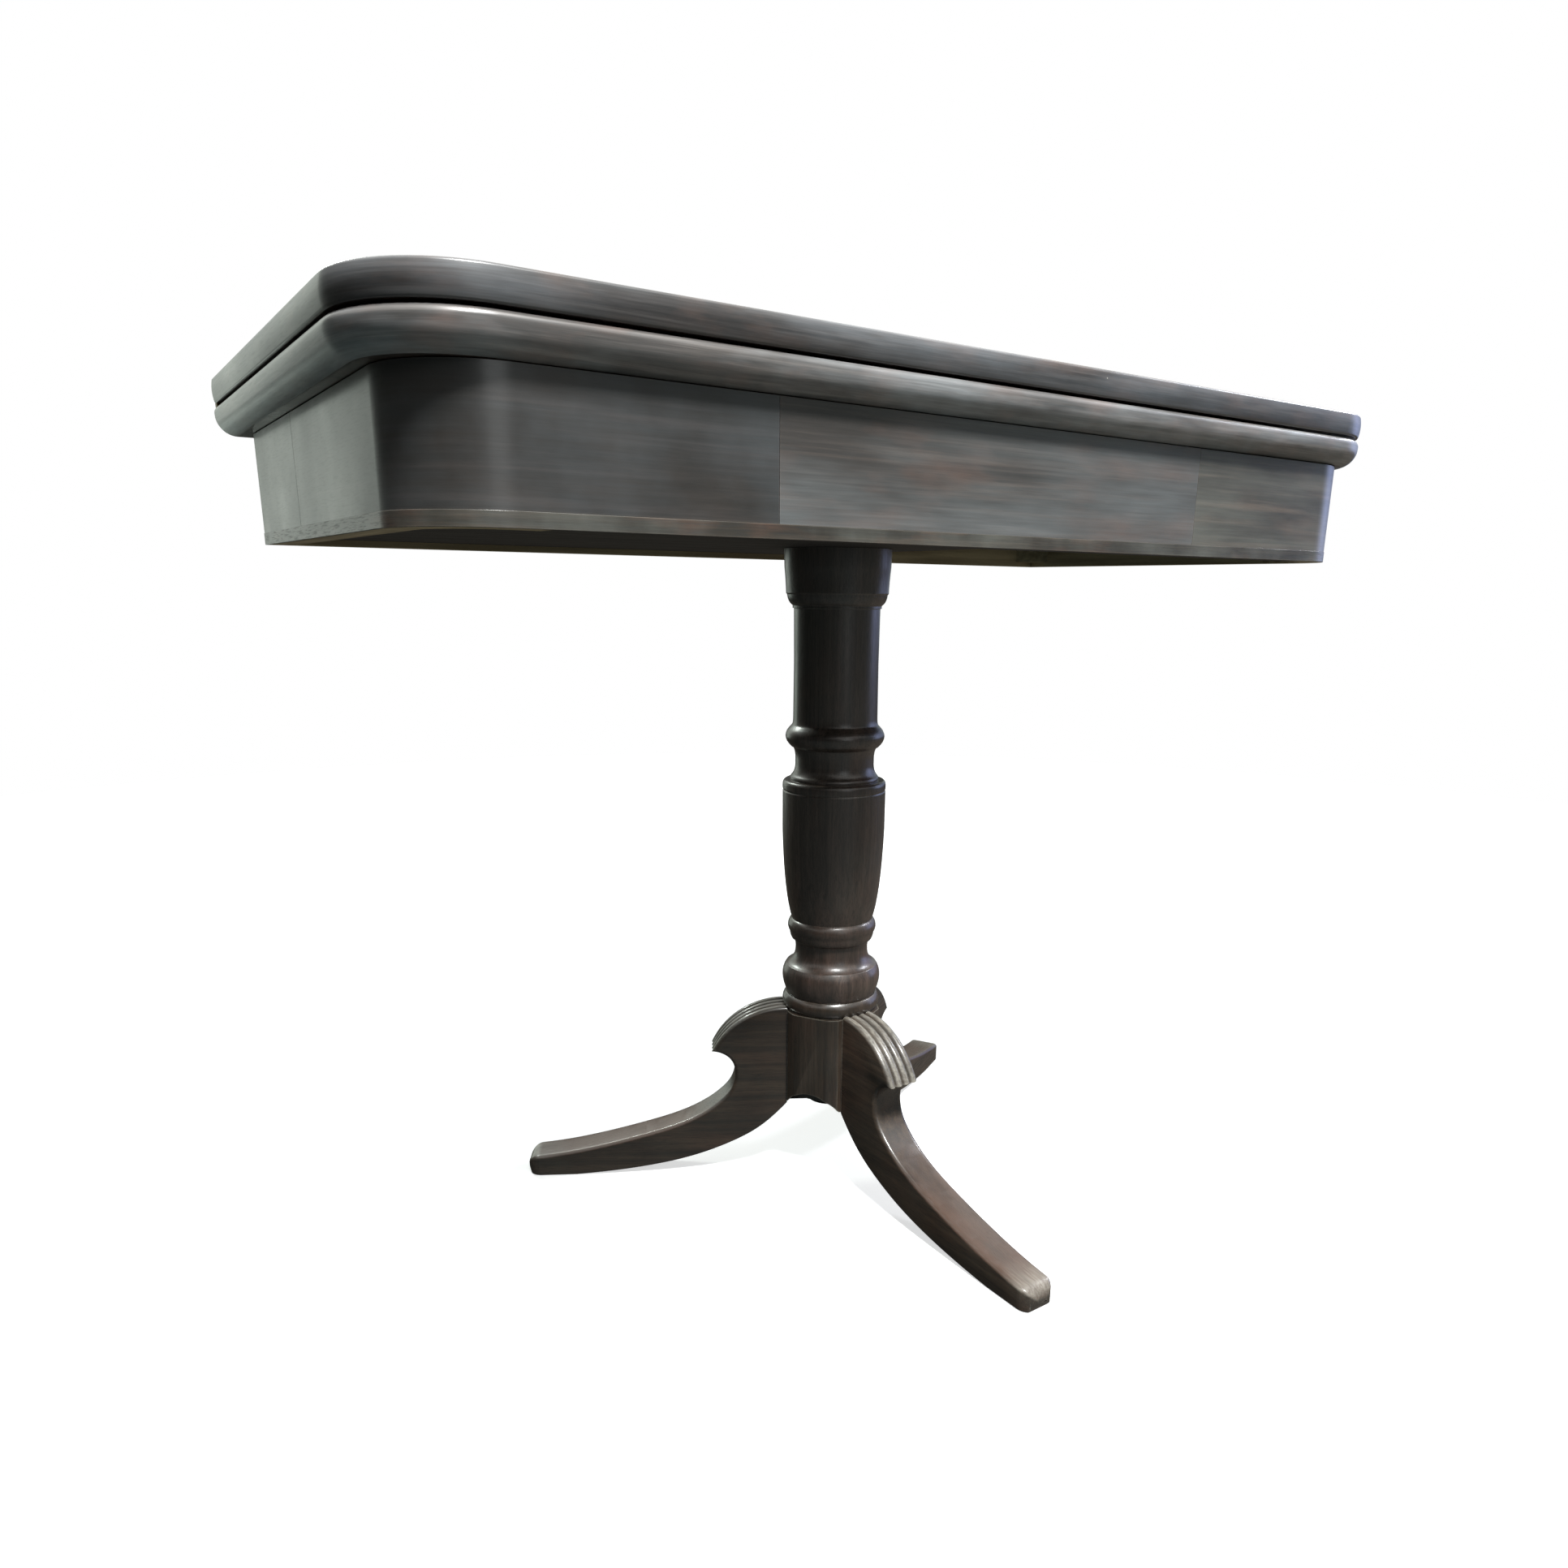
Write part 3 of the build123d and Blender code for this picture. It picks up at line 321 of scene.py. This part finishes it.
def mahogany(name, **changes):
    look = dict(mahoganyBase, **changes)
    material = bpy.data.materials.new(name)
    material.use_nodes = True
    tree = material.node_tree
    tree.nodes.clear()
    if look["unrolled"]:
        place = addNode(tree, "Attribute", attribute_name="grainRun").outputs["Vector"]
    else:
        place = addNode(tree, "TexCoord").outputs["Object"]
    seed = look["seed"]
    turned = addNode(tree, "Mapping", {"Vector": place, "Location": (seed, seed * 0.7, seed * 1.3),
                                       "Rotation": [math.radians(a) for a in look["turn"]]})

    # each pattern's length along the grain and width across it, and the kind of its noise
    length, width, haze, ripple = (look[key] for key in (
        "ribbonLength", "ribbonWidth", "hazeSize", "rippleSize"))
    patterns = {
        "ribbon": (length, width, {"Detail": 5.0, "Roughness": 0.62, "Distortion": 0.35}),
        "pores": (look["poreLength"], look["poreWidth"], {"Detail": 2.0, "Roughness": 0.6}),
        "streaks": (length * 0.3, width * 0.3, {"Detail": 3.0, "Roughness": 0.6}),
        "cloud": (haze * look["hazeStretch"], haze, {"Detail": 4.0, "Roughness": 0.55}),
        "patch": (haze * 1.7, haze * 0.6, {"Scale": 1.3, "Detail": 3.0, "Roughness": 0.6}),
        "ripple": (ripple * 2, ripple, {"Detail": 2.0}),
    }
    noise = {}
    for kind, (along, across, character) in patterns.items():
        scale = [1 / (across * mm)] * 3
        scale["XYZ".index(look["grain"])] = 1 / (along * mm)
        spread = addNode(tree, "Mapping", {"Vector": turned.outputs[0], "Scale": scale})
        noise[kind] = addNode(tree, "TexNoise", {"Vector": spread.outputs[0], "Scale": 1.0,
                                                 **character}).outputs[0]

    # each mask's pattern, the part of it that counts, and what its ends give
    spans = {
        "redness": ("patch", 0.5, 0.72, 0.0, look["redAmount"]),
        "poreShade": ("pores", 0.36, 0.5, look["poreShade"], 1.0),
        "haze": ("cloud", 0.4, 0.68, 0.15, 1.0),
        "streak": ("streaks", 0.3, 0.7, *look["streak"]),
        "rubPatch": ("patch", 0.35, 0.6, 0.3, 1.0),
        "rubFine": ("streaks", 0.35, 0.6, 0.45, 1.1),
        "rough": ("cloud", 0.3, 0.7, look["roughLow"], look["roughHigh"]),
        "poreRough": ("pores", 0.34, 0.5, look["poreRough"], 0.0),
    }
    mask = {}
    for kind, (pattern, *span) in spans.items():
        mask[kind] = addNode(tree, "MapRange", {0: noise[pattern],
                                                **dict(enumerate(span, 1))}).outputs[0]

    hazeFine = addNode(tree, "Math", {0: mask["haze"], 1: mask["streak"]}, operation="MULTIPLY")
    hazeShare = addNode(tree, "Math", {0: hazeFine.outputs[0], 1: look["hazeAmount"]},
                        operation="MULTIPLY", use_clamp=True)
    layers = [("MIX", mask["redness"], fromHex(look["red"])),
              ("MULTIPLY", 1.0, mask["poreShade"]),
              ("MIX", hazeShare.outputs[0], fromHex(look["haze"]))]
    # painted light and shade: the colour is darkened or brightened by height alone, as light falls on
    # the edge
    if look["grime"]:
        low, high, depth = look["grime"]
        ownPlace = addNode(tree, "TexCoord").outputs["Object"]
        height = addNode(tree, "SeparateXYZ", {0: ownPlace}).outputs[2]
        paintedHeightShading = addNode(tree, "MapRange", {0: height, 1: low * mm, 2: high * mm, 3: depth, 4: 1.0})
        layers.append(("MULTIPLY", 1.0, paintedHeightShading.outputs[0]))
    if look["bare"]:
        trodden = addNode(tree, "Attribute", attribute_name="bare").outputs["Fac"]
        uneven = addNode(tree, "MapRange", {0: noise["patch"], 1: 0.35, 2: 0.6, 3: 0.35, 4: 1.0})
        share = addNode(tree, "Math", {0: trodden, 1: uneven.outputs[0]}, operation="MULTIPLY",
                        use_clamp=True)
        layers.append(("MIX", share.outputs[0], fromHex(look["bare"])))

    # rubbed edges: where a rounded normal leaves the true one, and where the mesh says so; on the
    # knees that is partly a painted highlight on the reed crests
    rounded = addNode(tree, "Bevel", {"Radius": look["wornEdge"] * mm}, samples=4)
    true = addNode(tree, "NewGeometry").outputs["Normal"]
    agree = addNode(tree, "VectorMath", {0: rounded.outputs[0], 1: true}, operation="DOT_PRODUCT")
    edge = addNode(tree, "MapRange", {0: agree.outputs["Value"], 1: 0.985, 2: 0.9, 3: 0.0,
                                      4: 1.0}).outputs[0]
    if look["meshRubAndHighlight"]:
        rubAndHighlightMark = addNode(tree, "Attribute", attribute_name="rubAndHighlight").outputs["Fac"]
        edge = addNode(tree, "Math", {0: edge, 1: rubAndHighlightMark}, operation="MAXIMUM").outputs[0]
    for kind in ("rubPatch", "rubFine"):
        edge = addNode(tree, "Math", {0: edge, 1: mask[kind]}, operation="MULTIPLY").outputs[0]
    wornShare = addNode(tree, "Math", {0: edge, 1: look["wornAmount"]}, operation="MULTIPLY",
                        use_clamp=True)
    layers.append(("MIX", wornShare.outputs[0], fromHex(look["worn"])))
    if look["speckAmount"]:
        dents = addNode(tree, "TexVoronoi", {"Vector": turned.outputs[0],
                                             "Scale": 1 / (look["speckGap"] * mm)})
        speck = addNode(tree, "MapRange", {0: dents.outputs["Distance"], 1: look["speckSize"] * 0.5,
                                           2: look["speckSize"], 3: look["speckAmount"], 4: 0.0})
        layers.append(("MIX", speck.outputs[0], fromHex(look["speck"])))

    colour = addNode(tree, "ValToRGB", {0: noise["ribbon"]}, stops=[
        (0.32, fromHex(look["dark"])), (0.66, fromHex(look["light"])),
        (0.5, fromHex(look["middle"]))]).outputs[0]
    for blend, share, tint in layers:
        colour = addNode(tree, "Mix", {0: share, 6: colour, 7: tint}, data_type="RGBA",
                         blend_type=blend).outputs[2]
    roughness = addNode(tree, "Math", {0: mask["rough"], 1: mask["poreRough"]}, operation="ADD")
    wave = addNode(tree, "Bump", {"Height": noise["ripple"], "Distance": look["rippleDepth"] * mm,
                                  "Strength": 1.0})
    relief = addNode(tree, "Bump", {"Height": noise["pores"], "Distance": look["poreDepth"] * mm,
                                    "Strength": 1.0, "Normal": wave.outputs[0]})
    shader = addNode(tree, "BsdfPrincipled", {
        "Base Color": colour, "Roughness": roughness.outputs[0], "Normal": relief.outputs[0],
        "IOR": 1.5, "Coat Weight": look["coat"], "Coat Roughness": look["coatRough"]})
    addNode(tree, "OutputMaterial", {"Surface": shader.outputs[0]})
    return material


# edges of the leaves: thin film over straight ribbon, dusty in the light, dented here and there
edgeLook = {
    "unrolled": True, "hazeStretch": 4, "ribbonLength": 120, "ribbonWidth": 3.2,
    "speckAmount": 0.5, "poreShade": 0.85, "poreRough": 0.03, "poreDepth": 0.02,
    "streak": (0.7, 1.15), "coatRough": 0.2, "roughLow": 0.3,
}
# upper leaf: its edge colour darkened towards the gap below it, a painted shade
upperLeafWood = mahogany("frenchPolishedMahogany", light="#4b4745", middle="#312d2b",
                         red="#5a463c", haze="#868c92", hazeAmount=0.36, hazeSize=34,
                         wornAmount=0.5, grime=(705, 724, 0.42), seed=0.3, **edgeLook)
# the leaf that hands take hold of: its film more clouded, and its colour brightened towards the
# underside, a painted light on the lower roll
lowerLeafWood = mahogany("handledMahoganyLeafPaintedLight", light="#544e4a", middle="#37322f",
                         red="#664d42", haze="#929698", hazeAmount=0.55, hazeSize=40,
                         wornAmount=0.4, grime=(685, 699, 1.9), seed=0.9, **edgeLook)
# flat faces of the leaves: wide ribbon figure under a cleaner polish
leafFaceWood = mahogany("polishedMahoganyBoard", unrolled=True, hazeAmount=0.1,
                        light="#4a352b", middle="#33251e", dark="#201713", red="#5a3829",
                        redAmount=0.6, ribbonLength=300, ribbonWidth=9, poreShade=0.75,
                        poreRough=0.05, coat=0.6, wornAmount=0.4, seed=0.6)
# frieze sheets: figured veneer, its film clouded blue-grey and dulled
sheetLook = {
    "unrolled": True, "streak": (0.75, 1.15), "dark": "#231f1b", "poreDepth": 0.01,
    "poreShade": 0.85, "poreRough": 0.03, "wornAmount": 0.12, "coatRough": 0.2, "roughLow": 0.3,
    "roughHigh": 0.44,
}
veneerLeft = mahogany("cloudedMahoganyVeneerLeft", hazeAmount=0.24, haze="#555d62", hazeSize=90,
                      light="#332f2d", middle="#272523", red="#40362f", redAmount=0.3, seed=1.1,
                      **sheetLook)
veneerCentre = mahogany("cloudedMahoganyVeneerCentre", hazeAmount=0.38, haze="#7e8486",
                        hazeStretch=4, light="#463e39", middle="#302b28", red="#573f34",
                        redAmount=0.5, seed=5.9, **sheetLook)
veneerRight = mahogany("cloudedMahoganyVeneerRight", hazeAmount=0.38, haze="#858880",
                       hazeStretch=4, light="#4a4039", middle="#2e2a27", red="#564238", seed=3.7,
                       **sheetLook)
# frieze strip: polish rubbed down to red wood
stripWood = mahogany("rubbedMahoganyStrip", unrolled=True, hazeAmount=0.3, haze="#7c7f78",
                     red="#644437", redAmount=0.5, wornAmount=0.22, streak=(0.7, 1.15),
                     coatRough=0.25, roughLow=0.32, seed=4.1)
# column: dark wax over turned wood, duller than polish and brownish where hands reach
turnedWood = mahogany("waxedTurnedMahogany", grain="Z", hazeAmount=0.14, haze="#6c6a60",
                      light="#50413a", middle="#3d312b", dark="#2a221e", red="#563c30",
                      redAmount=0.5, worn="#6f6a5e", wornAmount=0.6, seed=5.2, roughLow=0.3,
                      roughHigh=0.44, coatRough=0.22, poreRough=0.08)
# block under it: the same wax, in darker tones than the column
hubWood = mahogany("waxedMahoganyBlock", grain="Z", hazeAmount=0.08, haze="#6c6a60",
                   light="#382e26", middle="#29211a", dark="#1a1511", red="#46332a",
                   worn="#8a867a", wornAmount=0.7, seed=6.4)
print("wood finishes mixed")


# Veneered sheets bent round the two front corners, over a thin strip that stands proud. In mm.
frieze = {
    "halfWidth": 435.3,
    "front": -184.85,
    "back": 229.65,
    "corner": 60.0,
    "thickness": 1.8,
    "low": 606.4,
    "high": 680.9,
    "leftJoint": -208.0,
    "rightJoint": 200.0,
    "sideJoint": 86.15,
    "jointGap": 0.3,
    "cornerSteps": 24,
    "sheetBevel": 0.15,
    "stripLow": 597.4,
    "stripProud": 0.4,
    "stripBevel": 0.25,
    "inside": (0, 50),    # a point that every sheet turns its back on
}


def bentSheet(name, start, path, heights, thickness, bevel, setup, material, node):
    # the path goes ("to", x, y) for a straight run and ("turn", x, y, degrees) about that centre
    bm = bmesh.new()
    bottom, top = (bm.verts.new((start[0] * mm, start[1] * mm, z * mm)) for z in heights)
    edge = bm.edges.new((bottom, top))
    for kind, x, y, *angle in path:
        if kind == "to":
            here = edge.verts[0].co
            move = Vector((x * mm - here.x, y * mm - here.y, 0))
            made = bmesh.ops.extrude_edge_only(bm, edges=[edge])["geom"]
            ends = [g for g in made if isinstance(g, bmesh.types.BMVert)]
            bmesh.ops.translate(bm, verts=ends, vec=move)
            edge = next(g for g in made if isinstance(g, bmesh.types.BMEdge)
                        and len(g.link_faces) == 1
                        and abs(g.verts[0].co.z - g.verts[1].co.z) > mm)
        else:
            made = bmesh.ops.spin(bm, geom=[edge], cent=(x * mm, y * mm, 0), axis=(0, 0, 1),
                                  angle=math.radians(angle[0]), steps=setup["cornerSteps"],
                                  use_merge=False)
            edge = next(g for g in made["geom_last"] if isinstance(g, bmesh.types.BMEdge))
    bmesh.ops.recalc_face_normals(bm, faces=bm.faces)
    face = bm.faces[0]
    outward = face.calc_center_median() - Vector((*setup["inside"], 0)) * mm
    if face.normal.dot(Vector((outward.x, outward.y, 0))) < 0:
        bmesh.ops.reverse_faces(bm, faces=bm.faces)
    bmesh.ops.solidify(bm, geom=bm.faces[:], thickness=thickness * mm)
    bmesh.ops.recalc_face_normals(bm, faces=bm.faces)
    run = bm.verts.layers.float_vector.new("grainRun")
    for vert in bm.verts:
        vert[run] = (unroll(vert.co.x, vert.co.y, setup), 0.0, vert.co.z)
    addPiece(name, bm, [material], "base", [node], bevel=bevel)


def buildFrieze(setup):
    half, front, corner = setup["halfWidth"], setup["front"], setup["corner"]
    turnX, turnY = half - corner, front + corner
    gap, proud = setup["jointGap"] / 2, setup["stripProud"]
    sheet = ((setup["low"], setup["high"]), setup["thickness"], setup["sheetBevel"], setup)
    sideEnd = setup["sideJoint"] - gap
    bentSheet("friezeLeft", (setup["leftJoint"] - gap, front),
              [("to", -turnX, front), ("turn", -turnX, turnY, -90), ("to", -half, sideEnd)],
              *sheet, veneerLeft, "front_veneer_left")
    bentSheet("friezeCentre", (setup["leftJoint"] + gap, front),
              [("to", setup["rightJoint"] - gap, front)],
              *sheet, veneerCentre, "front_veneer_centre")
    bentSheet("friezeRight", (setup["rightJoint"] + gap, front),
              [("to", turnX, front), ("turn", turnX, turnY, 90), ("to", half, sideEnd)],
              *sheet, veneerRight, "front_veneer_right")
    for side, name, wood in ((-1, "left", veneerLeft), (1, "right", veneerRight)):
        bentSheet("friezeSide" + name.title(), (side * half, setup["sideJoint"] + gap),
                  [("to", side * half, setup["back"])], *sheet, wood, "side_veneer_" + name)
    bentSheet("friezeStrip", (-half - proud, setup["back"]),
              [("to", -half - proud, turnY), ("turn", -turnX, turnY, 90),
               ("to", turnX, front - proud), ("turn", turnX, turnY, 90),
               ("to", half + proud, setup["back"])],
              (setup["stripLow"], setup["low"]), setup["thickness"] + proud, setup["stripBevel"],
              setup, stripWood, "frieze_strip")


buildFrieze(frieze)
print("frieze veneered")


# The grain follows the rounded edges of the leaves, and runs straight across both flat faces.
leaf = {
    "halfWidth": 457.0,
    "front": -197.35,
    "corner": 72.0,
    "flatFrom": 0.985,    # upward share of a normal that makes a face part of the flat
    "bevel": 0.3,
    "edgeBand": 4.0,      # mm from the edge that the upper leaf's fullness reaches
    "fullness": 1.3,      # how far the edge's middle stands out past its corners
    "low": 705.0,
    "high": 724.0,
    "cuts": (707.5, 710, 712.5, 715, 717.5, 720, 722),
}


def inward(x, y, outline):
    # direction into the leaf from its nearest edge, and the distance to that edge
    half, front, corner = (outline[key] * mm for key in ("halfWidth", "front", "corner"))
    side = 1 if x > 0 else -1
    fromX, fromY = abs(x) - (half - corner), front + corner - y
    if fromX > 0 and fromY > 0:
        reach = math.hypot(fromX, fromY)
        return Vector((-side * fromX / reach, fromY / reach, 0)), corner - reach
    if corner - fromX < corner - fromY:
        return Vector((-side, 0, 0)), corner - fromX
    return Vector((0, 1, 0)), corner - fromY


def fillEdge(bm, setup):
    for level in setup["cuts"]:
        bmesh.ops.bisect_plane(bm, geom=bm.verts[:] + bm.edges[:] + bm.faces[:],
                               dist=0.001 * mm, plane_co=(0, 0, level * mm), plane_no=(0, 0, 1))
    middle = (setup["low"] + setup["high"]) / 2 * mm
    tall = (setup["high"] - setup["low"]) / 2 * mm
    for vert in bm.verts:
        way, depth = inward(vert.co.x, vert.co.y, setup)
        if depth < setup["edgeBand"] * mm:
            vert.co += way * setup["fullness"] * mm * ((vert.co.z - middle) / tall) ** 2
    bm.normal_update()


def buildLeaf(name, node, wood, setup, full=False):
    bm = copyOfNode(node)
    if full:
        fillEdge(bm, setup)
    run = bm.loops.layers.float_vector.new("grainRun")
    for face in bm.faces:
        flat = abs(face.normal.z) > setup["flatFrom"]
        face.material_index = 1 if flat else 0
        for loop in face.loops:
            place = loop.vert.co
            along = place.x if flat else unroll(place.x, place.y, setup)
            loop[run] = (along, place.y if flat else 0.0, place.z)
    # each leaf is a body of its own, named as its node is
    addPiece(name, bm, [wood, leafFaceWood], node, [node], bevel=setup["bevel"])


buildLeaf("upperLeafBoard", "upper_leaf", upperLeafWood, leaf, full=True)
buildLeaf("lowerLeafBoard", "lower_leaf", lowerLeafWood, leaf)
print("leaves laid")


column = {
    "centre": 38.15,
    "steps": 96,
    "arcSteps": 8,
    "sharpAbove": 28,     # degrees between faces that keep an edge
    "bevel": 0.35,
    # radius and height in mm; a curve passes its middle point
    "outline": [
        (0, 121), (18, 121), (18, 187), (43.08, 187),
        ("curve", 47.6, 203.62, 44.03, 216.08), (42.6, 216.7),
        ("curve", 36.89, 222.72, 34.99, 231.86), ("curve", 35.41, 237.26, 37.03, 241.0),
        (38.65, 241.83), ("curve", 40.03, 244.74, 40.75, 248.48), (41.22, 249.73),
        ("curve", 42.6, 255.54, 40.22, 261.36), (39.01, 262.19),
        ("curve", 45.21, 295.83, 48.4, 349.01), (48.4, 385.98), (47.67, 387.22), (48.5, 388.47),
        (48.5, 391.79), ("curve", 47.92, 394.7, 46.22, 396.36), (41.14, 396.36),
        ("curve", 41.43, 398.85, 39.69, 401.35), ("curve", 37.27, 406.75, 36.78, 413.39),
        ("curve", 37.12, 421.7, 39.01, 426.69), (40.66, 427.52),
        ("curve", 45.98, 437.07, 40.66, 446.62), (39.98, 447.46),
        ("curve", 39.25, 449.95, 39.0, 454.1), (38.61, 502.7), (39.0, 551.31), (40.25, 551.31),
        (40.25, 553.8), ("curve", 43.62, 557.54, 45.31, 563.35), (46.18, 564.18),
        ("curve", 46.75, 575.4, 47.72, 586.61), (48.2, 602.4), (22, 602.4), (22, 634.4),
        (0, 634.4),
    ],
}


def buildColumn(setup):
    bm = bmesh.new()
    here = Vector(setup["outline"][0])
    points = [here]
    for step in setup["outline"][1:]:
        if step[0] == "curve":
            middle, there = Vector(step[1:3]), Vector(step[3:5])
            pull = middle * 2 - (here + there) / 2   # the curve bends towards this point
            for i in range(1, setup["arcSteps"] + 1):
                t = i / setup["arcSteps"]
                points.append(here * (1 - t) ** 2 + pull * 2 * t * (1 - t) + there * t * t)
        else:
            there = Vector(step)
            points.append(there)
        here = there
    verts = [bm.verts.new((p.x * mm, setup["centre"] * mm, p.y * mm)) for p in points]
    edges = [bm.edges.new(pair) for pair in zip(verts, verts[1:])]
    bmesh.ops.spin(bm, geom=verts + edges, cent=(0, setup["centre"] * mm, 0), axis=(0, 0, 1),
                   angle=math.tau, steps=setup["steps"], use_merge=True)
    bmesh.ops.remove_doubles(bm, verts=bm.verts, dist=0.005 * mm)   # closes both ends on the axis
    bmesh.ops.recalc_face_normals(bm, faces=bm.faces)
    addPiece("turnedColumn", bm, [turnedWood], "base", ["column"],
             smoothAngle=setup["sharpAbove"], bevel=setup["bevel"], bevelAngle=setup["sharpAbove"])


buildColumn(column)
print("column turned")


# Three sabre legs round the block: reeds painted pale on the knees, partly worn and partly a painted
# highlight on their crests; treads and toes worn. In mm.
legs = {
    "bearings": {"front": 270, "right": 30, "left": 150},
    "kneeOut": 46.5,
    "kneeHeight": 97.0,
    "kneeRadius": 78.0,
    "reedDepth": 3.2,
    "crestSharpness": 2.2,
    "toeFrom": 268.0,
    "toeTo": 296.0,
    "toeRub": 0.9,
    "toeHeight": 16.0,
    "toeUp": 2.0,         # how soon a face that turns upward takes the whole rub
    "bareFrom": 110.0,
    "bareFull": 160.0,
    "bareUp": 0.3,        # upward share of a normal that makes a face part of the tread
    "bevel": 0.4,
    "bevelAngle": 40,
    "blockBevel": 0.5,
}
# the same wax, with the film gone from treads and toes, and the worn colour also painting the
# highlight on the knee reeds
legLook = {
    "grain": "X", "hazeAmount": 0.08, "haze": "#6c6a5c", "light": "#3a2f26", "middle": "#291f19",
    "dark": "#191411", "red": "#4a3429", "worn": "#98948a", "wornEdge": 1.8, "wornAmount": 0.7,
    "meshRubAndHighlight": True, "bare": "#4a3930",
}


def buildLeg(name, bearing, setup):
    wood = mahogany(name + "LegMahogany", turn=(0, 0, -bearing), seed=bearing * 0.01, **legLook)
    bm = copyOfNode("leg_" + name)
    rubAndHighlight = bm.verts.layers.float.new("rubAndHighlight")
    bare = bm.verts.layers.float.new("bare")
    out = Vector((math.cos(math.radians(bearing)), math.sin(math.radians(bearing)), 0))
    axis = Vector((0, column["centre"] * mm, 0))
    for vert in bm.verts:
        reach = (vert.co - axis).dot(out) / mm
        height = vert.co.z / mm
        # the knee's reed crests: pale as wear and as a painted highlight where the crests catch the
        # light
        fromKnee = math.hypot(reach - setup["kneeOut"], height - setup["kneeHeight"])
        crestWearAndHighlight = (fromKnee - setup["kneeRadius"]) / setup["reedDepth"] + 1
        crestWearAndHighlight = min(max(crestWearAndHighlight, 0.0), 1.0) ** setup["crestSharpness"]
        if height <= setup["kneeHeight"]:
            crestWearAndHighlight = 0.0
        toe = (reach - setup["toeFrom"]) / (setup["toeTo"] - setup["toeFrom"]) * setup["toeRub"]
        toe *= min(height / setup["toeHeight"], 1.0)
        toe *= min(max(vert.normal.z * setup["toeUp"], 0.0), 1.0)
        vert[rubAndHighlight] = min(max(crestWearAndHighlight, toe), 1.0)
        trodden = (reach - setup["bareFrom"]) / (setup["bareFull"] - setup["bareFrom"])
        upward = vert.normal.z > setup["bareUp"]
        vert[bare] = min(max(trodden, 0.0), 1.0) if upward else 0.0
    addPiece(name + "Leg", bm, [wood], "base", ["leg_" + name],
             bevel=setup["bevel"], bevelAngle=setup["bevelAngle"])


addPiece("tripodBlock", copyOfNode("tripod_hub"), [hubWood], "base",
         ["tripod_hub"], bevel=legs["blockBevel"])
for name, bearing in legs["bearings"].items():
    buildLeg(name, bearing, legs)
print("hub and legs fitted")


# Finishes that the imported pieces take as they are: a light and a dark tone, the size of the pattern
# and the depth of its relief in mm, and how the pattern stretches along each axis.
plainLooks = {
    # planed pine left bare, dry and straw brown, the grain along the rail
    "barePine": {"colour": "#ab9672", "shade": "#7f6c4e", "rough": 0.75, "size": 9, "depth": 0.2,
                 "stretch": (0.06, 1, 1)},
    "barePineAcross": {"colour": "#ab9672", "shade": "#7f6c4e", "rough": 0.75, "size": 9,
                       "depth": 0.2, "stretch": (1, 0.06, 1)},
    # the same under dark stain, nearly black and matt
    "stainedPine": {"colour": "#2a251f", "shade": "#181411", "rough": 0.7, "size": 9, "depth": 0.2,
                    "stretch": (0.06, 1, 1)},
    # felted wool cloth, without shine, its nap drawn coarser than it is
    "woolBaize": {"colour": "#2c4a34", "shade": "#1c3324", "rough": 0.95, "size": 1.2,
                  "depth": 0.15},
    # filed brass gone brown, with soft blurred glints
    "agedBrass": {"colour": "#80673c", "shade": "#5f4a2b", "rough": 0.48, "metallic": 1.0,
                  "size": 6, "depth": 0.03},
    # cast iron blacked against rust, hardly shiny
    "blackedIron": {"colour": "#2a2826", "shade": "#171615", "rough": 0.6, "metallic": 0.9,
                    "size": 5, "depth": 0.1},
    # cut steel dulled grey by age
    "dulledSteel": {"colour": "#6a6762", "shade": "#3c3936", "rough": 0.45, "metallic": 1.0,
                    "size": 4, "depth": 0.04},
}


def plainFinish(name, look):
    material = bpy.data.materials.new(name)
    material.use_nodes = True
    tree = material.node_tree
    tree.nodes.clear()
    place = addNode(tree, "TexCoord").outputs["Object"]
    scale = [s / (look["size"] * mm) for s in look.get("stretch", (1, 1, 1))]
    scaled = addNode(tree, "Mapping", {"Vector": place, "Scale": scale})
    noise = addNode(tree, "TexNoise", {"Vector": scaled.outputs[0], "Scale": 1.0,
                                       "Detail": 5.0}).outputs[0]
    tint = addNode(tree, "ValToRGB", {0: noise}, stops=[(0.35, fromHex(look["shade"])),
                                                        (0.65, fromHex(look["colour"]))])
    gloss = addNode(tree, "MapRange", {0: noise, 1: 0.3, 2: 0.7, 3: look["rough"],
                                       4: look["rough"] * 0.75})
    relief = addNode(tree, "Bump", {"Height": noise, "Distance": look["depth"] * mm,
                                    "Strength": 1.0})
    shader = addNode(tree, "BsdfPrincipled", {
        "Base Color": tint.outputs[0], "Roughness": gloss.outputs[0], "Normal": relief.outputs[0],
        "Metallic": look.get("metallic", 0.0)})
    addNode(tree, "OutputMaterial", {"Surface": shader.outputs[0]})
    return material


# the undersides that show below the strip were stained, the inside was left bare
finishByNode = {
    "front_rail": "stainedPine", "well_floor": "stainedPine", "column_bearer": "stainedPine",
    "left_rail": "barePineAcross", "right_rail": "barePineAcross",
    "pivot_rail": "barePineAcross", "well_divider": "barePineAcross",
}
finishBySlot = {
    "carcase_pine": "barePine", "baize": "woolBaize", "hinge_brass": "agedBrass",
    "iron": "blackedIron", "steel": "dulledSteel",
}

finishes = {name: plainFinish(name, look) for name, look in plainLooks.items()}
for part in frame["record"]["subparts"]:
    node = frame["nodes"].get(part["node"])
    finish = finishByNode.get(part["node"]) or finishBySlot.get(part["material_slot"])
    if node and finish:
        node.data.materials.clear()
        node.data.materials.append(finishes[finish])
print("carcase and fittings finished")
